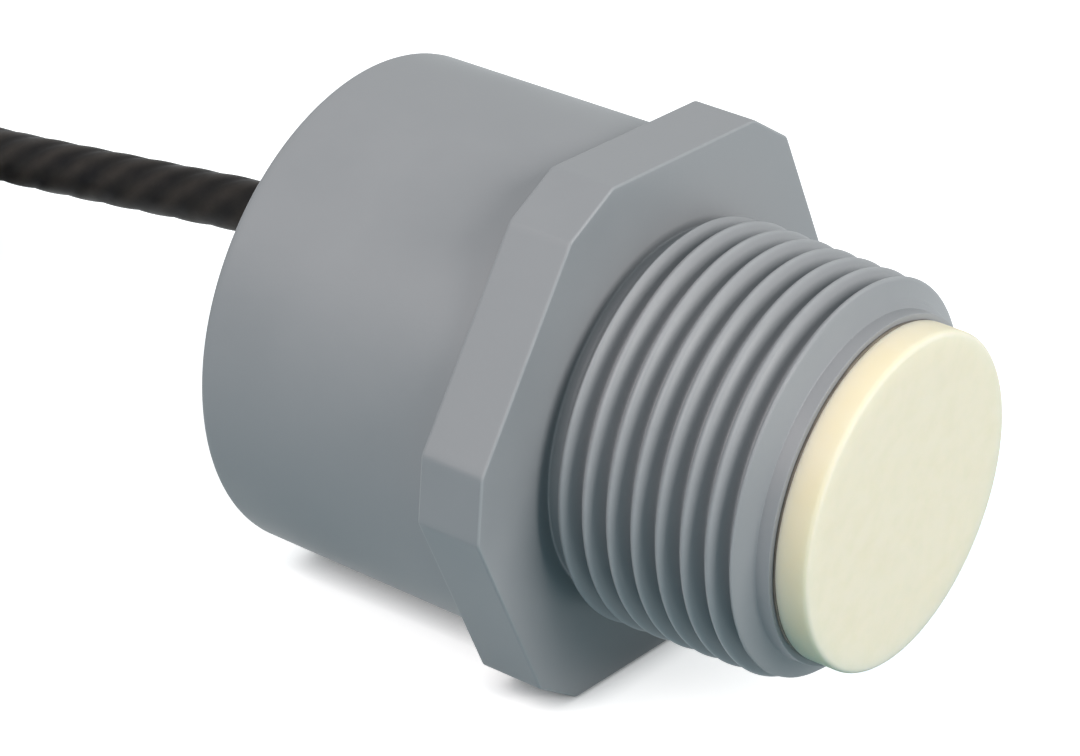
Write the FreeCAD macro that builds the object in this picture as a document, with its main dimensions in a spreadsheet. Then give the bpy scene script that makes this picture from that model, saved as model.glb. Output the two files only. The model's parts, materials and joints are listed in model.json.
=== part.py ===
import FreeCAD, Part
import Sketcher
import math
import os

# Ultrasonic level sensor: a moulded grey PVC housing with a round hub, a wrench hexagon
# and a tapered pipe thread, a cream sounding face at its tip, the transducer stack and
# circuit board potted inside it, and a black cable that leaves off-centre at the back.
# It lies as it rests on a table, on one flat of the hexagon and the rim of its hub.
# Every piece is drawn about the sensor's own axis: Z runs to the sounding face, X is the
# side that faces up once it lies, and Z = 0 is the front of the hexagon.

Vector = FreeCAD.Vector
Rotation = FreeCAD.Rotation
Placement = FreeCAD.Placement

doc = FreeCAD.newDocument("level_sensor")
sizes = doc.addObject("Spreadsheet::Sheet", "sizes")

# Driving dimensions in millimetres, angles in degrees
DRIVING = [
    ("across_flats", 44.0, "hexagon, flat to flat"),
    ("across_corners", 47.5, "hexagon, between the faces that cut its corners"),
    ("flange_thickness", 5.85, "hexagon, along the axis"),
    ("flange_edge", 0.3, "bevel on the hexagon's outlines"),
    ("hub_diameter", 42.0, "hub at its open end"),
    ("hub_draft", 0.0066, "growth of the hub's radius for each mm towards the hexagon"),
    ("hub_length", 24.3, "hub, from its rim to the hexagon"),
    ("rim_bevel", 0.3, "bevel on the hub's outer rim"),
    ("socket_diameter", 33.5, "slip socket inside the hub"),
    ("socket_mouth", 0.6, "bevel at the socket's mouth"),
    ("web_thickness", 4.6, "floor of the socket, behind the hexagon's front"),
    ("bore_diameter", 24.4, "bore through the threaded end"),
    ("thread_diameter", 33.68, "crests of the thread where it meets the hexagon"),
    ("thread_taper", 0.03125, "loss of radius for each mm towards the face"),
    ("thread_pitch", 2.2087, "11.5 turns to the inch"),
    ("thread_depth", 1.5, "crest to root"),
    ("thread_root", 0.3, "width of the flat at the root"),
    ("thread_flank", 27.5, "flank angle from the radial direction"),
    ("thread_length", 17.4, "from the hexagon to the lead-in bevel"),
    ("thread_start", 0.568, "groove centre on the upper side, from the hexagon"),
    ("relief_width", 1.2, "plain groove where the thread runs out at the hexagon"),
    ("lead_in", 1.0, "length of the bevel at the tip of the thread"),
    ("spigot_diameter", 28.4, "plain ring behind the sounding face"),
    ("spigot_length", 1.2, "the same, along the axis"),
    ("bond_thickness", 0.2, "adhesive under the sounding face and round its stem"),
    ("disc_inset", 0.45, "step of the sounding face and its bond below the spigot's edge"),
    ("disc_thickness", 2.85, "sounding face, in front of the bond"),
    ("disc_edge", 0.35, "bevel on the sounding face's rim"),
    ("stem_length", 4.0, "stem of the sounding face inside the bore"),
    ("cork_wall", 2.2, "cork sleeve between the ceramic disc and the bore"),
    ("piezo_thickness", 3.0, "ceramic disc"),
    ("sleeve_overhang", 1.0, "cork sleeve behind the ceramic"),
    ("backing_length", 7.0, "loaded epoxy plug behind the sleeve"),
    ("wire_diameter", 0.9, "insulated wires of the ceramic"),
    ("wire_spread", 15.0, "between the two wires"),
    ("board_diameter", 31.6, "round circuit board"),
    ("board_thickness", 1.6, "round circuit board"),
    ("board_setback", 6.0, "front of the board, behind the hexagon's front"),
    ("pot_core_diameter", 11.2, "ferrite pot core of the step-up transformer"),
    ("pot_core_height", 7.4, "both halves together"),
    ("pot_core_wall", 1.1, "outer wall and end plates of the pot core"),
    ("pot_core_post", 4.4, "centre post"),
    ("winding_clearance", 0.15, "round the winding inside the pot core"),
    ("can_diameter", 6.3, "storage capacitor's can"),
    ("can_height", 7.7, "storage capacitor"),
    ("can_base_width", 6.6, "square base under the can"),
    ("can_base_height", 1.1, "square base under the can"),
    ("thermistor_diameter", 2.4, "bead that senses the temperature"),
    ("thermistor_inset", 1.8, "its middle, from the bore's wall"),
    ("board_grid", 0.2, "components are placed in steps of this grid"),
    ("controller_side", 7.0, "square package of the controller"),
    ("controller_height", 1.0, "the same, above the board"),
    ("amplifier_length", 4.9, "package of the receiving amplifier"),
    ("amplifier_width", 3.9, "the same, across"),
    ("amplifier_height", 1.5, "the same, above the board"),
    ("driver_length", 6.5, "package of the driver transistor"),
    ("driver_width", 3.6, "the same, across"),
    ("driver_height", 1.7, "the same, above the board"),
    ("crystal_width", 10.6, "can of the timing crystal"),
    ("crystal_height", 3.4, "the same, above the board"),
    ("crystal_clearance", 1.0, "between that can and the pot core, and the bore"),
    ("crystal_shift", 0.1, "that can, outwards from the middle of its room"),
    ("resistor_length", 2.0, "chip resistors"),
    ("resistor_width", 1.25, "the same, across"),
    ("resistor_height", 0.5, "the same, above the board"),
    ("capacitor_length", 1.6, "chip capacitors"),
    ("capacitor_width", 0.8, "the same, across"),
    ("capacitor_height", 0.8, "the same, above the board"),
    ("potting_recess", 1.3, "potting compound below the hub's rim"),
    ("cable_diameter", 4.6, "cable jacket"),
    ("cable_offset", 5.0, "cable's axis above the sensor's axis"),
    ("cable_depth", 9.0, "jacket inside the rim"),
    ("grommet_diameter", 8.2, "rubber sleeve round the cable, at the potting"),
    ("grommet_tail", 6.0, "the same, at its outer end"),
    ("grommet_depth", 5.5, "sleeve inside the rim"),
    ("grommet_reach", 3.6, "sleeve outside the rim"),
    ("grommet_lip", 0.5, "rounding at the sleeve's outer end"),
    ("conductor_diameter", 1.2, "insulated cores of the cable"),
    ("conductor_spread", 0.72, "core centres from the cable's axis, each way"),
    ("strand_diameter", 0.75, "tinned ends of the cores"),
    ("strand_length", 6.0, "tinned ends of the cores"),
    ("coil_diameter", 53.0, "mean diameter of the put-away coil"),
    ("coil_low_turns", 4, "turns that lie on the floor"),
    ("coil_high_turns", 3, "turns that lie in their valleys"),
]

# Dimensions worked out from the driving ones
DERIVED = [
    ("flat_radius", "across_flats / 2"),
    ("corner_radius", "across_corners / 2"),
    ("flange_back", "-flange_thickness"),
    ("rim_back", "flange_back - hub_length"),
    ("rim_corner", "rim_back + rim_bevel"),
    ("hub_radius", "hub_diameter / 2"),
    ("hub_rim_radius", "hub_radius - rim_bevel"),
    ("hub_front_radius", "hub_radius + hub_length * hub_draft"),
    ("web_middle", "-web_thickness / 2"),
    ("web_back", "-web_thickness"),
    ("socket_radius", "socket_diameter / 2"),
    ("mouth_radius", "socket_radius + socket_mouth"),
    ("mouth_depth", "rim_back + socket_mouth"),
    ("mouth_outside", "rim_back - socket_mouth"),
    ("mouth_wide_radius", "mouth_radius + socket_mouth"),
    ("bore_radius", "bore_diameter / 2"),
    ("thread_radius", "thread_diameter / 2"),
    ("relief_radius", "thread_radius - thread_depth - thread_taper * relief_width"),
    ("relief_end", "relief_width + thread_depth / 2"),
    ("thread_big_radius", "thread_radius - thread_taper * relief_end"),
    ("thread_small_radius", "thread_radius - thread_taper * thread_length"),
    ("lead_in_end", "thread_length + lead_in"),
    ("spigot_radius", "spigot_diameter / 2"),
    ("spigot_end", "lead_in_end + spigot_length"),
    ("past_spigot", "spigot_end + 5"),
    ("bond_front", "spigot_end + bond_thickness"),
    ("stem_radius", "bore_radius - bond_thickness"),
    ("stem_back", "bond_front - stem_length"),
    ("disc_radius", "spigot_radius - disc_inset"),
    ("disc_front", "bond_front + disc_thickness"),
    ("disc_corner", "disc_front - disc_edge"),
    ("disc_face_radius", "disc_radius - disc_edge"),
    ("piezo_radius", "bore_radius - cork_wall"),
    ("piezo_back", "stem_back - piezo_thickness"),
    ("sleeve_back", "piezo_back - sleeve_overhang"),
    ("backing_back", "sleeve_back - backing_length"),
    ("board_radius", "board_diameter / 2"),
    ("board_front", "-board_setback"),
    ("board_back", "board_front - board_thickness"),
    ("potting_back", "rim_back + potting_recess"),
    ("core_radius", "pot_core_diameter / 2"),
    ("crystal_length", "bore_radius - core_radius - 2 * crystal_clearance"),
    ("crystal_place", "(core_radius + bore_radius) / 2 + crystal_shift"),
    ("thermistor_place", "bore_radius - thermistor_inset"),
    ("core_inner_radius", "core_radius - pot_core_wall"),
    ("post_radius", "pot_core_post / 2"),
    ("core_middle", "board_front + pot_core_height / 2"),
    ("core_top", "board_front + pot_core_height"),
    ("core_floor", "board_front + pot_core_wall"),
    ("core_ceiling", "core_top - pot_core_wall"),
    ("winding_outer", "core_inner_radius - winding_clearance"),
    ("winding_inner", "post_radius + winding_clearance"),
    ("winding_low", "core_floor + winding_clearance"),
    ("winding_high", "core_ceiling - winding_clearance"),
    ("grommet_radius", "grommet_diameter / 2"),
    ("grommet_tail_radius", "grommet_tail / 2"),
    ("grommet_lip_radius", "grommet_tail_radius - grommet_lip"),
    ("cable_radius", "cable_diameter / 2"),
    ("grommet_front", "rim_back + grommet_depth"),
    ("grommet_end", "rim_back - grommet_reach"),
    ("grommet_lip_start", "grommet_end + grommet_lip"),
    ("jacket_front", "rim_back + cable_depth"),
]

for row, (name, value, note) in enumerate(DRIVING, start=1):
    sizes.set("A%d" % row, name)
    sizes.set("B%d" % row, repr(value))
    sizes.set("C%d" % row, note)
    sizes.setAlias("B%d" % row, name)
for row, (name, formula) in enumerate(DERIVED, start=len(DRIVING) + 2):
    sizes.set("A%d" % row, name)
    sizes.set("B%d" % row, "=" + formula)
    sizes.setAlias("B%d" % row, name)
doc.recompute()


def size(name):
    """A cell of the sheet by its alias, as a plain number."""
    return float(getattr(sizes, name))


def bind(obj, **expressions):
    """Ties properties of a document object to cells of the sheet."""
    for prop, alias in expressions.items():
        obj.setExpression(prop, "sizes." + alias)
    return obj


def origin_plane(body, role):
    """One of a body's own origin planes."""
    return [f for f in body.Origin.OriginFeatures if f.Role == role][0]


def outline_sketch(sketch, outline):
    """A closed outline of straight edges whose corners are tied to the sheet.

    The outline is a list of (radius, height) aliases, and "0" is the axis.
    """
    numbers = [tuple(0.0 if name == "0" else size(name) for name in corner) for corner in outline]
    count = len(outline)
    for i in range(count):
        start = Vector(*numbers[i], 0)
        end = Vector(*numbers[(i + 1) % count], 0)
        sketch.addGeometry(Part.LineSegment(start, end), False)
    for i in range(count):
        sketch.addConstraint(Sketcher.Constraint("Coincident", i, 2, (i + 1) % count, 1))
    for i, corner in enumerate(outline):
        for kind, name, number, axis in (
            ("DistanceX", corner[0], numbers[i][0], -2),
            ("DistanceY", corner[1], numbers[i][1], -1),
        ):
            if name == "0":
                sketch.addConstraint(Sketcher.Constraint("PointOnObject", i, 1, axis))
            else:
                index = sketch.addConstraint(Sketcher.Constraint(kind, -1, 1, i, 1, number))
                sketch.setExpression("Constraints[%d]" % index, "sizes." + name)


def turned(label, outline):
    """A turned or moulded round piece: a body with one outline revolved about its Z axis."""
    body = doc.addObject("PartDesign::Body", label)
    body.Label = label
    sketch = body.newObject("Sketcher::SketchObject", label + "_outline")
    sketch.AttachmentSupport = [(origin_plane(body, "XZ_Plane"), "")]
    sketch.MapMode = "FlatFace"
    outline_sketch(sketch, outline)
    revolution = body.newObject("PartDesign::Revolution", label + "_revolve")
    revolution.Profile = sketch
    revolution.ReferenceAxis = (sketch, ["V_Axis"])
    revolution.Angle = 360
    return body


def fused(label, pieces):
    """Several solids of one moulding, made one."""
    result = doc.addObject("Part::MultiFuse", label)
    result.Label = label
    result.Shapes = pieces
    return result


def cut(label, base, tool):
    """A solid less another."""
    result = doc.addObject("Part::Cut", label)
    result.Label = label
    result.Base = base
    result.Tool = tool
    return result


def feature(label, shape):
    """A piece whose shape comes straight from the geometry kernel."""
    result = doc.addObject("Part::Feature", label)
    result.Label = label
    result.Shape = shape
    return result


def move(x=0.0, y=0.0, z=0.0, axis=Vector(0, 0, 1), angle=0.0):
    return Placement(Vector(x, y, z), Rotation(axis, angle))


# How it lies
# The hexagon's lower rear edge and the hub's lower rim both touch the floor, so the nose
# points up by a small angle. LIE turns the sensor's own axes into the resting ones.
TILT = math.atan2(
    size("flat_radius") - size("hub_radius"),
    size("hub_length") - size("rim_bevel") + size("flange_edge"),
)
UP = Vector(-math.sin(TILT), 0, math.cos(TILT))
AXIS = Vector(math.cos(TILT), 0, math.sin(TILT))
SIDE = AXIS.cross(UP)
TOUCH = size("flange_back") + size("flange_edge")


def resting(x_shift):
    """The placement of a sensor that lies with its bounding box about x = 0."""
    height = size("flat_radius") * math.cos(TILT) - TOUCH * math.sin(TILT)
    turn = FreeCAD.Matrix(
        UP.x, SIDE.x, AXIS.x, x_shift,
        UP.y, SIDE.y, AXIS.y, 0,
        UP.z, SIDE.z, AXIS.z, height,
        0, 0, 0, 1,
    )
    return Placement(turn)


REAR_REACH = size("grommet_end") * math.cos(TILT) - (
    size("cable_offset") + size("grommet_lip_radius")
) * math.sin(TILT)
FRONT_REACH = size("disc_front") * math.cos(TILT) + size("disc_face_radius") * math.sin(TILT)
LIE = resting(-(REAR_REACH + FRONT_REACH) / 2)

finished = []


def keep(piece, placement=None):
    """Adds a sub-part to those that are written out, and sets where it lies."""
    if placement is not None:
        piece.Placement = placement
    finished.append(piece)
    return piece


# Housing
# One moulding: the hub, the hexagon with its corners cut, and the threaded end. The thread
# is a true helix on a taper. Its cutter starts inside the hexagon's thickness and ends
# past the spigot, so the groove runs out into the relief and over the lead-in bevel.
def thread_cutter():
    """The solid that one pass of the threading tool takes out of the blank."""
    start = size("thread_start") - size("thread_pitch")
    root = size("thread_radius") - size("thread_depth") - start * size("thread_taper")
    helix = doc.addObject("Part::Helix", "thread_helix")
    helix.Style = "New style"
    helix.SegmentLength = 1.0
    helix.Radius = root
    helix.Height = size("past_spigot") - start
    helix.Angle = -math.degrees(math.atan(size("thread_taper")))
    bind(helix, Pitch="thread_pitch")
    helix.Placement = move(z=start)
    doc.recompute()
    half_root = size("thread_root") / 2
    crest_over = size("thread_pitch") * 0.2
    widest = half_root + size("thread_depth") * math.tan(math.radians(size("thread_flank")))
    widest = min(widest, size("thread_pitch") * 0.49)
    corners = [
        (root, -half_root),
        (root, half_root),
        (root + size("thread_depth"), widest),
        (root + size("thread_depth") + crest_over, widest),
        (root + size("thread_depth") + crest_over, -widest),
        (root + size("thread_depth"), -widest),
    ]
    profile = doc.addObject("Part::Feature", "thread_profile")
    profile.Shape = Part.makePolygon(
        [Vector(r, 0, start + along) for r, along in corners + corners[:1]]
    )
    sweep = doc.addObject("Part::Sweep", "thread_cutter")
    sweep.Sections = [profile]
    sweep.Spine = (helix, ["Edge%d" % (i + 1) for i in range(len(helix.Shape.Edges))])
    sweep.Solid = True
    sweep.Frenet = True
    return sweep


def hexagon_flange():
    """A hexagonal plate whose corners are cut by a second, larger hexagon."""
    plates = []
    for name, alias, turn in (("flat_sides", "flat_radius", 30), ("cut_corners", "corner_radius", 0)):
        plate = doc.addObject("Part::Prism", name)
        plate.Polygon = 6
        plate.setExpression("Circumradius", "sizes.%s / cos(30)" % alias)
        bind(plate, Height="flange_thickness")
        plate.Placement = move(z=size("flange_back"), angle=turn)
        plates.append(plate)
    common = doc.addObject("Part::Common", "flange_plate")
    common.Base, common.Tool = plates
    doc.recompute()
    bevel = doc.addObject("Part::Chamfer", "flange")
    bevel.Base = common
    width = size("flange_edge")
    level = [
        i
        for i, edge in enumerate(common.Shape.Edges, start=1)
        if abs(edge.Vertexes[0].Z - edge.Vertexes[1].Z) < 1e-6
    ]
    bevel.Edges = [(i, width, width) for i in level]
    return bevel


def housing():
    blank = turned("threaded_end", [
        ("0", "web_middle"),
        ("relief_radius", "web_middle"),
        ("relief_radius", "relief_width"),
        ("thread_big_radius", "relief_end"),
        ("thread_small_radius", "thread_length"),
        ("spigot_radius", "lead_in_end"),
        ("spigot_radius", "spigot_end"),
        ("0", "spigot_end"),
    ])
    hub = turned("hub", [
        ("0", "rim_back"),
        ("hub_rim_radius", "rim_back"),
        ("hub_radius", "rim_corner"),
        ("hub_front_radius", "flange_back"),
        ("hub_front_radius", "web_middle"),
        ("0", "web_middle"),
    ])
    inside = turned("inside", [
        ("0", "mouth_outside"),
        ("mouth_wide_radius", "mouth_outside"),
        ("socket_radius", "mouth_depth"),
        ("socket_radius", "web_back"),
        ("bore_radius", "web_back"),
        ("bore_radius", "past_spigot"),
        ("0", "past_spigot"),
    ])
    threaded = cut("threaded_blank", blank, thread_cutter())
    solid = fused("housing_solid", [threaded, hexagon_flange(), hub])
    return cut("housing", solid, inside)


keep(housing(), LIE)


# Sounding face and transducer
# The cream disc is one piece with the stem that is glued into the bore. The ceramic disc is
# bonded to the stem, held clear of the housing by a cork sleeve and damped from behind.
keep(turned("sounding_face", [
    ("0", "stem_back"),
    ("stem_radius", "stem_back"),
    ("stem_radius", "bond_front"),
    ("disc_radius", "bond_front"),
    ("disc_radius", "disc_corner"),
    ("disc_face_radius", "disc_front"),
    ("0", "disc_front"),
]), LIE)
keep(turned("face_bond", [
    ("stem_radius", "stem_back"),
    ("bore_radius", "stem_back"),
    ("bore_radius", "spigot_end"),
    ("disc_radius", "spigot_end"),
    ("disc_radius", "bond_front"),
    ("stem_radius", "bond_front"),
]), LIE)
keep(turned("piezo_disc", [
    ("0", "piezo_back"),
    ("piezo_radius", "piezo_back"),
    ("piezo_radius", "stem_back"),
    ("0", "stem_back"),
]), LIE)
keep(turned("cork_sleeve", [
    ("piezo_radius", "sleeve_back"),
    ("bore_radius", "sleeve_back"),
    ("bore_radius", "stem_back"),
    ("piezo_radius", "stem_back"),
]), LIE)


def along_axis(label, radius, low, high, x=0.0, y=0.0):
    """A plain round bar along the sensor's axis."""
    bar = doc.addObject("Part::Cylinder", label)
    bar.Label = label
    bar.Radius = radius
    bar.Height = high - low
    bar.Placement = LIE.multiply(move(x, y, low))
    return bar


wire_radius = size("wire_diameter") / 2
piezo_wires = []
for label, side in (("signal_wire", 1), ("ground_wire", -1)):
    wire = along_axis(
        label, wire_radius, size("board_front"), size("piezo_back"), y=side * size("wire_spread") / 2
    )
    piezo_wires.append(keep(wire))

backing_blank = turned("backing_blank", [
    ("0", "backing_back"),
    ("bore_radius", "backing_back"),
    ("bore_radius", "sleeve_back"),
    ("piezo_radius", "sleeve_back"),
    ("piezo_radius", "piezo_back"),
    ("0", "piezo_back"),
])
backing_blank.Placement = LIE
keep(cut("backing_plug", backing_blank, fused("backing_holes", piezo_wires)))


# Circuit board and what it carries
keep(turned("circuit_board", [
    ("0", "board_back"),
    ("board_radius", "board_back"),
    ("board_radius", "board_front"),
    ("0", "board_front"),
]), LIE)
keep(turned("pot_core_rear", [
    ("0", "board_front"),
    ("core_radius", "board_front"),
    ("core_radius", "core_middle"),
    ("core_inner_radius", "core_middle"),
    ("core_inner_radius", "core_floor"),
    ("post_radius", "core_floor"),
    ("post_radius", "core_middle"),
    ("0", "core_middle"),
]), LIE)
keep(turned("pot_core_front", [
    ("0", "core_middle"),
    ("post_radius", "core_middle"),
    ("post_radius", "core_ceiling"),
    ("core_inner_radius", "core_ceiling"),
    ("core_inner_radius", "core_middle"),
    ("core_radius", "core_middle"),
    ("core_radius", "core_top"),
    ("0", "core_top"),
]), LIE)
keep(turned("transformer_winding", [
    ("winding_inner", "winding_low"),
    ("winding_outer", "winding_low"),
    ("winding_outer", "winding_high"),
    ("winding_inner", "winding_high"),
]), LIE)


def block(length, width, height, x, y, z, corner=0.0):
    """A moulded package centred on x and y, whose corners are rounded."""
    shape = Part.makeBox(length, width, height, Vector(x - length / 2, y - width / 2, z))
    if corner:
        upright = [e for e in shape.Edges if abs(e.tangentAt(e.FirstParameter).z) > 0.9]
        shape = shape.makeFillet(corner, upright)
    return shape


def placed(label, shape):
    """A piece drawn in the sensor's own axes, laid down with the rest."""
    piece = feature(label, shape)
    return keep(piece, LIE)


def on_grid(steps_up, steps_across):
    """A place on the board from its steps along X and Y."""
    return steps_up * size("board_grid"), steps_across * size("board_grid")


def timing_crystal():
    """An oval can that stands between the pot core and the wall of the bore."""
    length = size("crystal_length")
    corner = length / 2 - 0.05
    return block(
        length, size("crystal_width"), size("crystal_height"), -size("crystal_place"), 0, ahead, corner
    )


def storage_capacitor():
    """A can with a crimped waist on its square base, standing behind the board."""
    base_top = size("board_back") - size("can_base_height")
    bottom = size("board_back") - size("can_height")
    radius = size("can_diameter") / 2
    waist = radius * 0.88
    crimp = size("can_height") * 0.12
    outline = [
        (0, bottom),
        (radius - 0.4, bottom),
        (radius, bottom + 0.4),
        (radius, base_top - 2 * crimp),
        (waist, base_top - 1.5 * crimp),
        (radius, base_top - crimp),
        (radius, base_top),
        (0, base_top),
    ]
    ring = Part.makePolygon([Vector(r, 0, z) for r, z in outline + outline[:1]])
    can = Part.Face(ring).revolve(Vector(0, 0, 0), Vector(0, 0, 1), 360)
    x, y = on_grid(-42, -21)
    can.translate(Vector(x, y, 0))
    width = size("can_base_width")
    base = block(width, width, size("can_base_height"), x, y, base_top, 0.6)
    return can.fuse(base).removeSplitter()


def thermistor():
    """A glass bead that stands on the board with a small flat."""
    radius = size("thermistor_diameter") / 2
    place = size("thermistor_place")
    bead = Part.makeSphere(radius, Vector(place, 0, ahead + 0.95 * radius))
    above = Part.makeBox(4 * radius, 4 * radius, 4 * radius)
    above.translate(Vector(place - 2 * radius, -2 * radius, ahead))
    return bead.common(above)


# Where each component stands on the board, in steps of its grid from its centre: X is up, Y
# is across. A package is given by its length along X, its width along Y, its height, the
# rounding of its corners, whether it stands ahead of the board, and its places.
PACKAGES = [
    ("controller_chip", "controller_side", "controller_side", "controller_height", 0.3, False,
     [(-16, 26)]),
    ("amplifier_chip", "amplifier_length", "amplifier_width", "amplifier_height", 0.2, False,
     [(-55, 25)]),
    ("driver_transistor", "driver_length", "driver_width", "driver_height", 0.25, False,
     [(5, -38)]),
    ("chip_resistors", "resistor_length", "resistor_width", "resistor_height", 0.0, True,
     [(38, 25), (38, 36), (38, -25), (38, -36), (22, 55), (22, -55)]),
    ("chip_capacitors", "capacitor_length", "capacitor_width", "capacitor_height", 0.0, False,
     [(11, 20), (11, 31), (-41, 52), (-23, 57), (-16, -56), (2, -58)]),
]
PADS = [(57, 6), (43, 21), (57, -6), (43, -21)]
behind = size("board_back")
ahead = size("board_front")
components = [
    placed("storage_capacitor", storage_capacitor()),
    placed("thermistor", thermistor()),
    placed("timing_crystal", timing_crystal()),
]
for label, *sides, corner, in_front, places in PACKAGES:
    length, width, height = (size(side) for side in sides)
    foot = ahead if in_front else behind - height
    packages = [block(length, width, height, *on_grid(*at), foot, corner) for at in places]
    shape = packages[0] if len(packages) == 1 else Part.makeCompound(packages)
    components.append(placed(label, shape))


# Cable
# The jacket enters the potting through a rubber sleeve, above the sensor's axis, and its
# four cores spread to the board. Outside, it runs level, then drops to the floor.
offset = size("cable_offset")
grommet_bore = Part.makeCylinder(
    size("cable_radius"),
    size("grommet_front") - size("grommet_end"),
    Vector(offset, 0, size("grommet_end")),
)
grommet_blank = turned("grommet_blank", [
    ("0", "grommet_end"),
    ("grommet_lip_radius", "grommet_end"),
    ("grommet_tail_radius", "grommet_lip_start"),
    ("grommet_radius", "potting_back"),
    ("grommet_radius", "grommet_front"),
    ("0", "grommet_front"),
])
grommet_blank.Placement = LIE.multiply(move(x=offset))
grommet_hole = along_axis(
    "grommet_hole", size("cable_radius"), size("grommet_end"), size("grommet_front"), x=offset
)
keep(cut("cable_grommet", grommet_blank, grommet_hole))
keep(along_axis(
    "cable_end_inside", size("cable_radius"), size("grommet_end"), size("jacket_front"), x=offset
))


def rounded_path(points):
    """Straight runs joined by tangent arcs, each as large as its two runs allow."""
    edges = []
    radii = []
    start = points[0]
    for before, corner, after in zip(points, points[1:], points[2:]):
        into = (corner - before)
        out = (after - corner)
        shorter = min(into.Length, out.Length)
        into.normalize()
        out.normalize()
        turn = into.getAngle(out)
        reach = 0.45 * shorter
        radius = reach / math.tan(turn / 2)
        radii.append(radius)
        first = corner - into * reach
        last = corner + out * reach
        towards = out - into
        towards.normalize()
        middle = corner + towards * (radius / math.cos(turn / 2) - radius)
        edges.append(Part.LineSegment(start, first).toShape())
        edges.append(Part.Arc(first, middle, last).toShape())
        start = last
    edges.append(Part.LineSegment(start, points[-1]).toShape())
    return Part.Wire(edges), radii


def tube(points, radius):
    """A round bar along such a path, with its volume tested against section times length."""
    path, radii = rounded_path(points)
    along = points[1] - points[0]
    section = Part.Wire([Part.makeCircle(radius, points[0], along)])
    solid = path.makePipeShell([section], True, True)
    error = solid.Volume / (math.pi * radius**2 * path.Length) - 1
    if abs(error) > 0.01:
        raise RuntimeError("tube volume is off by %.3f" % error)
    return solid, path.Length, min(radii) if radii else 0.0


# Cores inside the housing, from the end of the jacket to pads on the board
def core_starts(centre, across, upward):
    """Where the four cores leave the jacket: two by two about the cable's axis."""
    reach = size("conductor_spread")
    return [
        centre + across * (reach * a) + upward * (reach * b)
        for a, b in ((1, 1), (1, -1), (-1, 1), (-1, -1))
    ]


conductor_radius = size("conductor_diameter") / 2
jacket_end = Vector(offset, 0, size("jacket_front"))
inner_cores = []
for begin, pad in zip(core_starts(jacket_end, Vector(0, 1, 0), Vector(1, 0, 0)), PADS):
    along = Vector(*on_grid(*pad), behind) - begin
    inner_cores.append(Part.makeCylinder(conductor_radius, along.Length, begin, along))
wide = size("board_diameter")
slab = Part.makeBox(
    wide, wide, behind - jacket_end.z, Vector(-wide / 2, -wide / 2, jacket_end.z)
)
board_cores = placed("board_cores", Part.makeCompound(inner_cores).common(slab))


# Potting
# Poured in from the back, it fills the socket and the bore round everything that stands
# there, and stops a little below the rim.
def potting():
    blank = turned("potting_blank", [
        ("0", "potting_back"),
        ("socket_radius", "potting_back"),
        ("socket_radius", "web_back"),
        ("bore_radius", "web_back"),
        ("bore_radius", "backing_back"),
        ("0", "backing_back"),
    ])
    blank.Placement = LIE
    core_envelope = along_axis(
        "core_envelope", size("core_radius"), size("board_front"), size("core_top")
    )
    jacket_envelope = along_axis(
        "jacket_envelope", size("cable_radius"), size("grommet_end"), size("jacket_front"), x=offset
    )
    held = [p for p in finished if p.Label in ("circuit_board", "cable_grommet")]
    tools = held + piezo_wires + components + [board_cores, core_envelope, jacket_envelope]
    return cut("potting_fill", blank, fused("potting_cavities", tools))


keep(potting())


# Free cable
# The points are where it lies, in the part's own frame: level out of the sleeve, straight as
# the sleeve holds it, round to the side and down on a neat coil. A coil's turns lie beside
# and on each other, one cable diameter apart. The lead joins the upper layer's outer turn,
# and the cable's end leaves the lower layer's outer turn along the floor.
cable_radius = size("cable_radius")
leave = LIE.multVec(Vector(offset, 0, size("grommet_end")))
LEAD = [
    leave,
    leave - AXIS * 4.25,
    Vector(-46.4, 0.0, 23.14),
    Vector(-69.5, 0.0, 18.93),
    Vector(-82.0, 6.4, 14.8),
    Vector(-92.2, 16.2, 10.6),
    Vector(-103.2, 19.4, 7.8),
    Vector(-114.65, 18.4, 6.3),
]
coil_centre = Vector(-106.5, -12.0, 0.0)
turn_step = size("cable_diameter") * 1.01
valley = math.sqrt(turn_step**2 - (turn_step / 2) ** 2)
low_turns = int(size("coil_low_turns"))
high_turns = int(size("coil_high_turns"))
mean_radius = size("coil_diameter") / 2
low_outer = mean_radius + (low_turns - 1) / 2 * turn_step
low_inner = mean_radius - (low_turns - 1) / 2 * turn_step
high_outer = mean_radius + (high_turns - 1) / 2 * turn_step
high_inner = mean_radius - (high_turns - 1) / 2 * turn_step


def coil_solid():
    """The outer shape of the wound coil."""
    top = valley + 2 * cable_radius
    shoulder = 1.6 * cable_radius
    outline = [
        (low_inner - cable_radius, 0.0),
        (low_outer + cable_radius, 0.0),
        (low_outer + cable_radius, shoulder),
        (high_outer + cable_radius, top),
        (high_inner - cable_radius, top),
        (low_inner - cable_radius, shoulder),
    ]
    ring = Part.makePolygon([Vector(r, 0, z) for r, z in outline + outline[:1]])
    solid = Part.Face(ring).revolve(Vector(0, 0, 0), Vector(0, 0, 1), 360)
    solid.translate(coil_centre)
    return solid


TAIL = [
    coil_centre + Vector(0.0, -low_outer, 2.35),
    coil_centre + Vector(10.0, -low_outer, 2.35),
    coil_centre + Vector(20.5, -low_outer + 1.27, 2.35),
]
coil = coil_solid()
lead, lead_length, lead_bend = tube(LEAD, cable_radius)
tail, tail_length, tail_bend = tube(TAIL, cable_radius)
keep(feature("cable_lead", lead.cut(coil)))
keep(feature("cable_coil", coil))
keep(feature("cable_tail", tail.cut(coil)))
coil_length = 2 * math.pi * mean_radius * (low_turns + high_turns)
print("lead %.1f, coil %.1f, tail %.1f mm" % (lead_length, coil_length, tail_length))
print("tightest bends: lead %.1f, tail %.1f mm" % (lead_bend, tail_bend))


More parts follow.
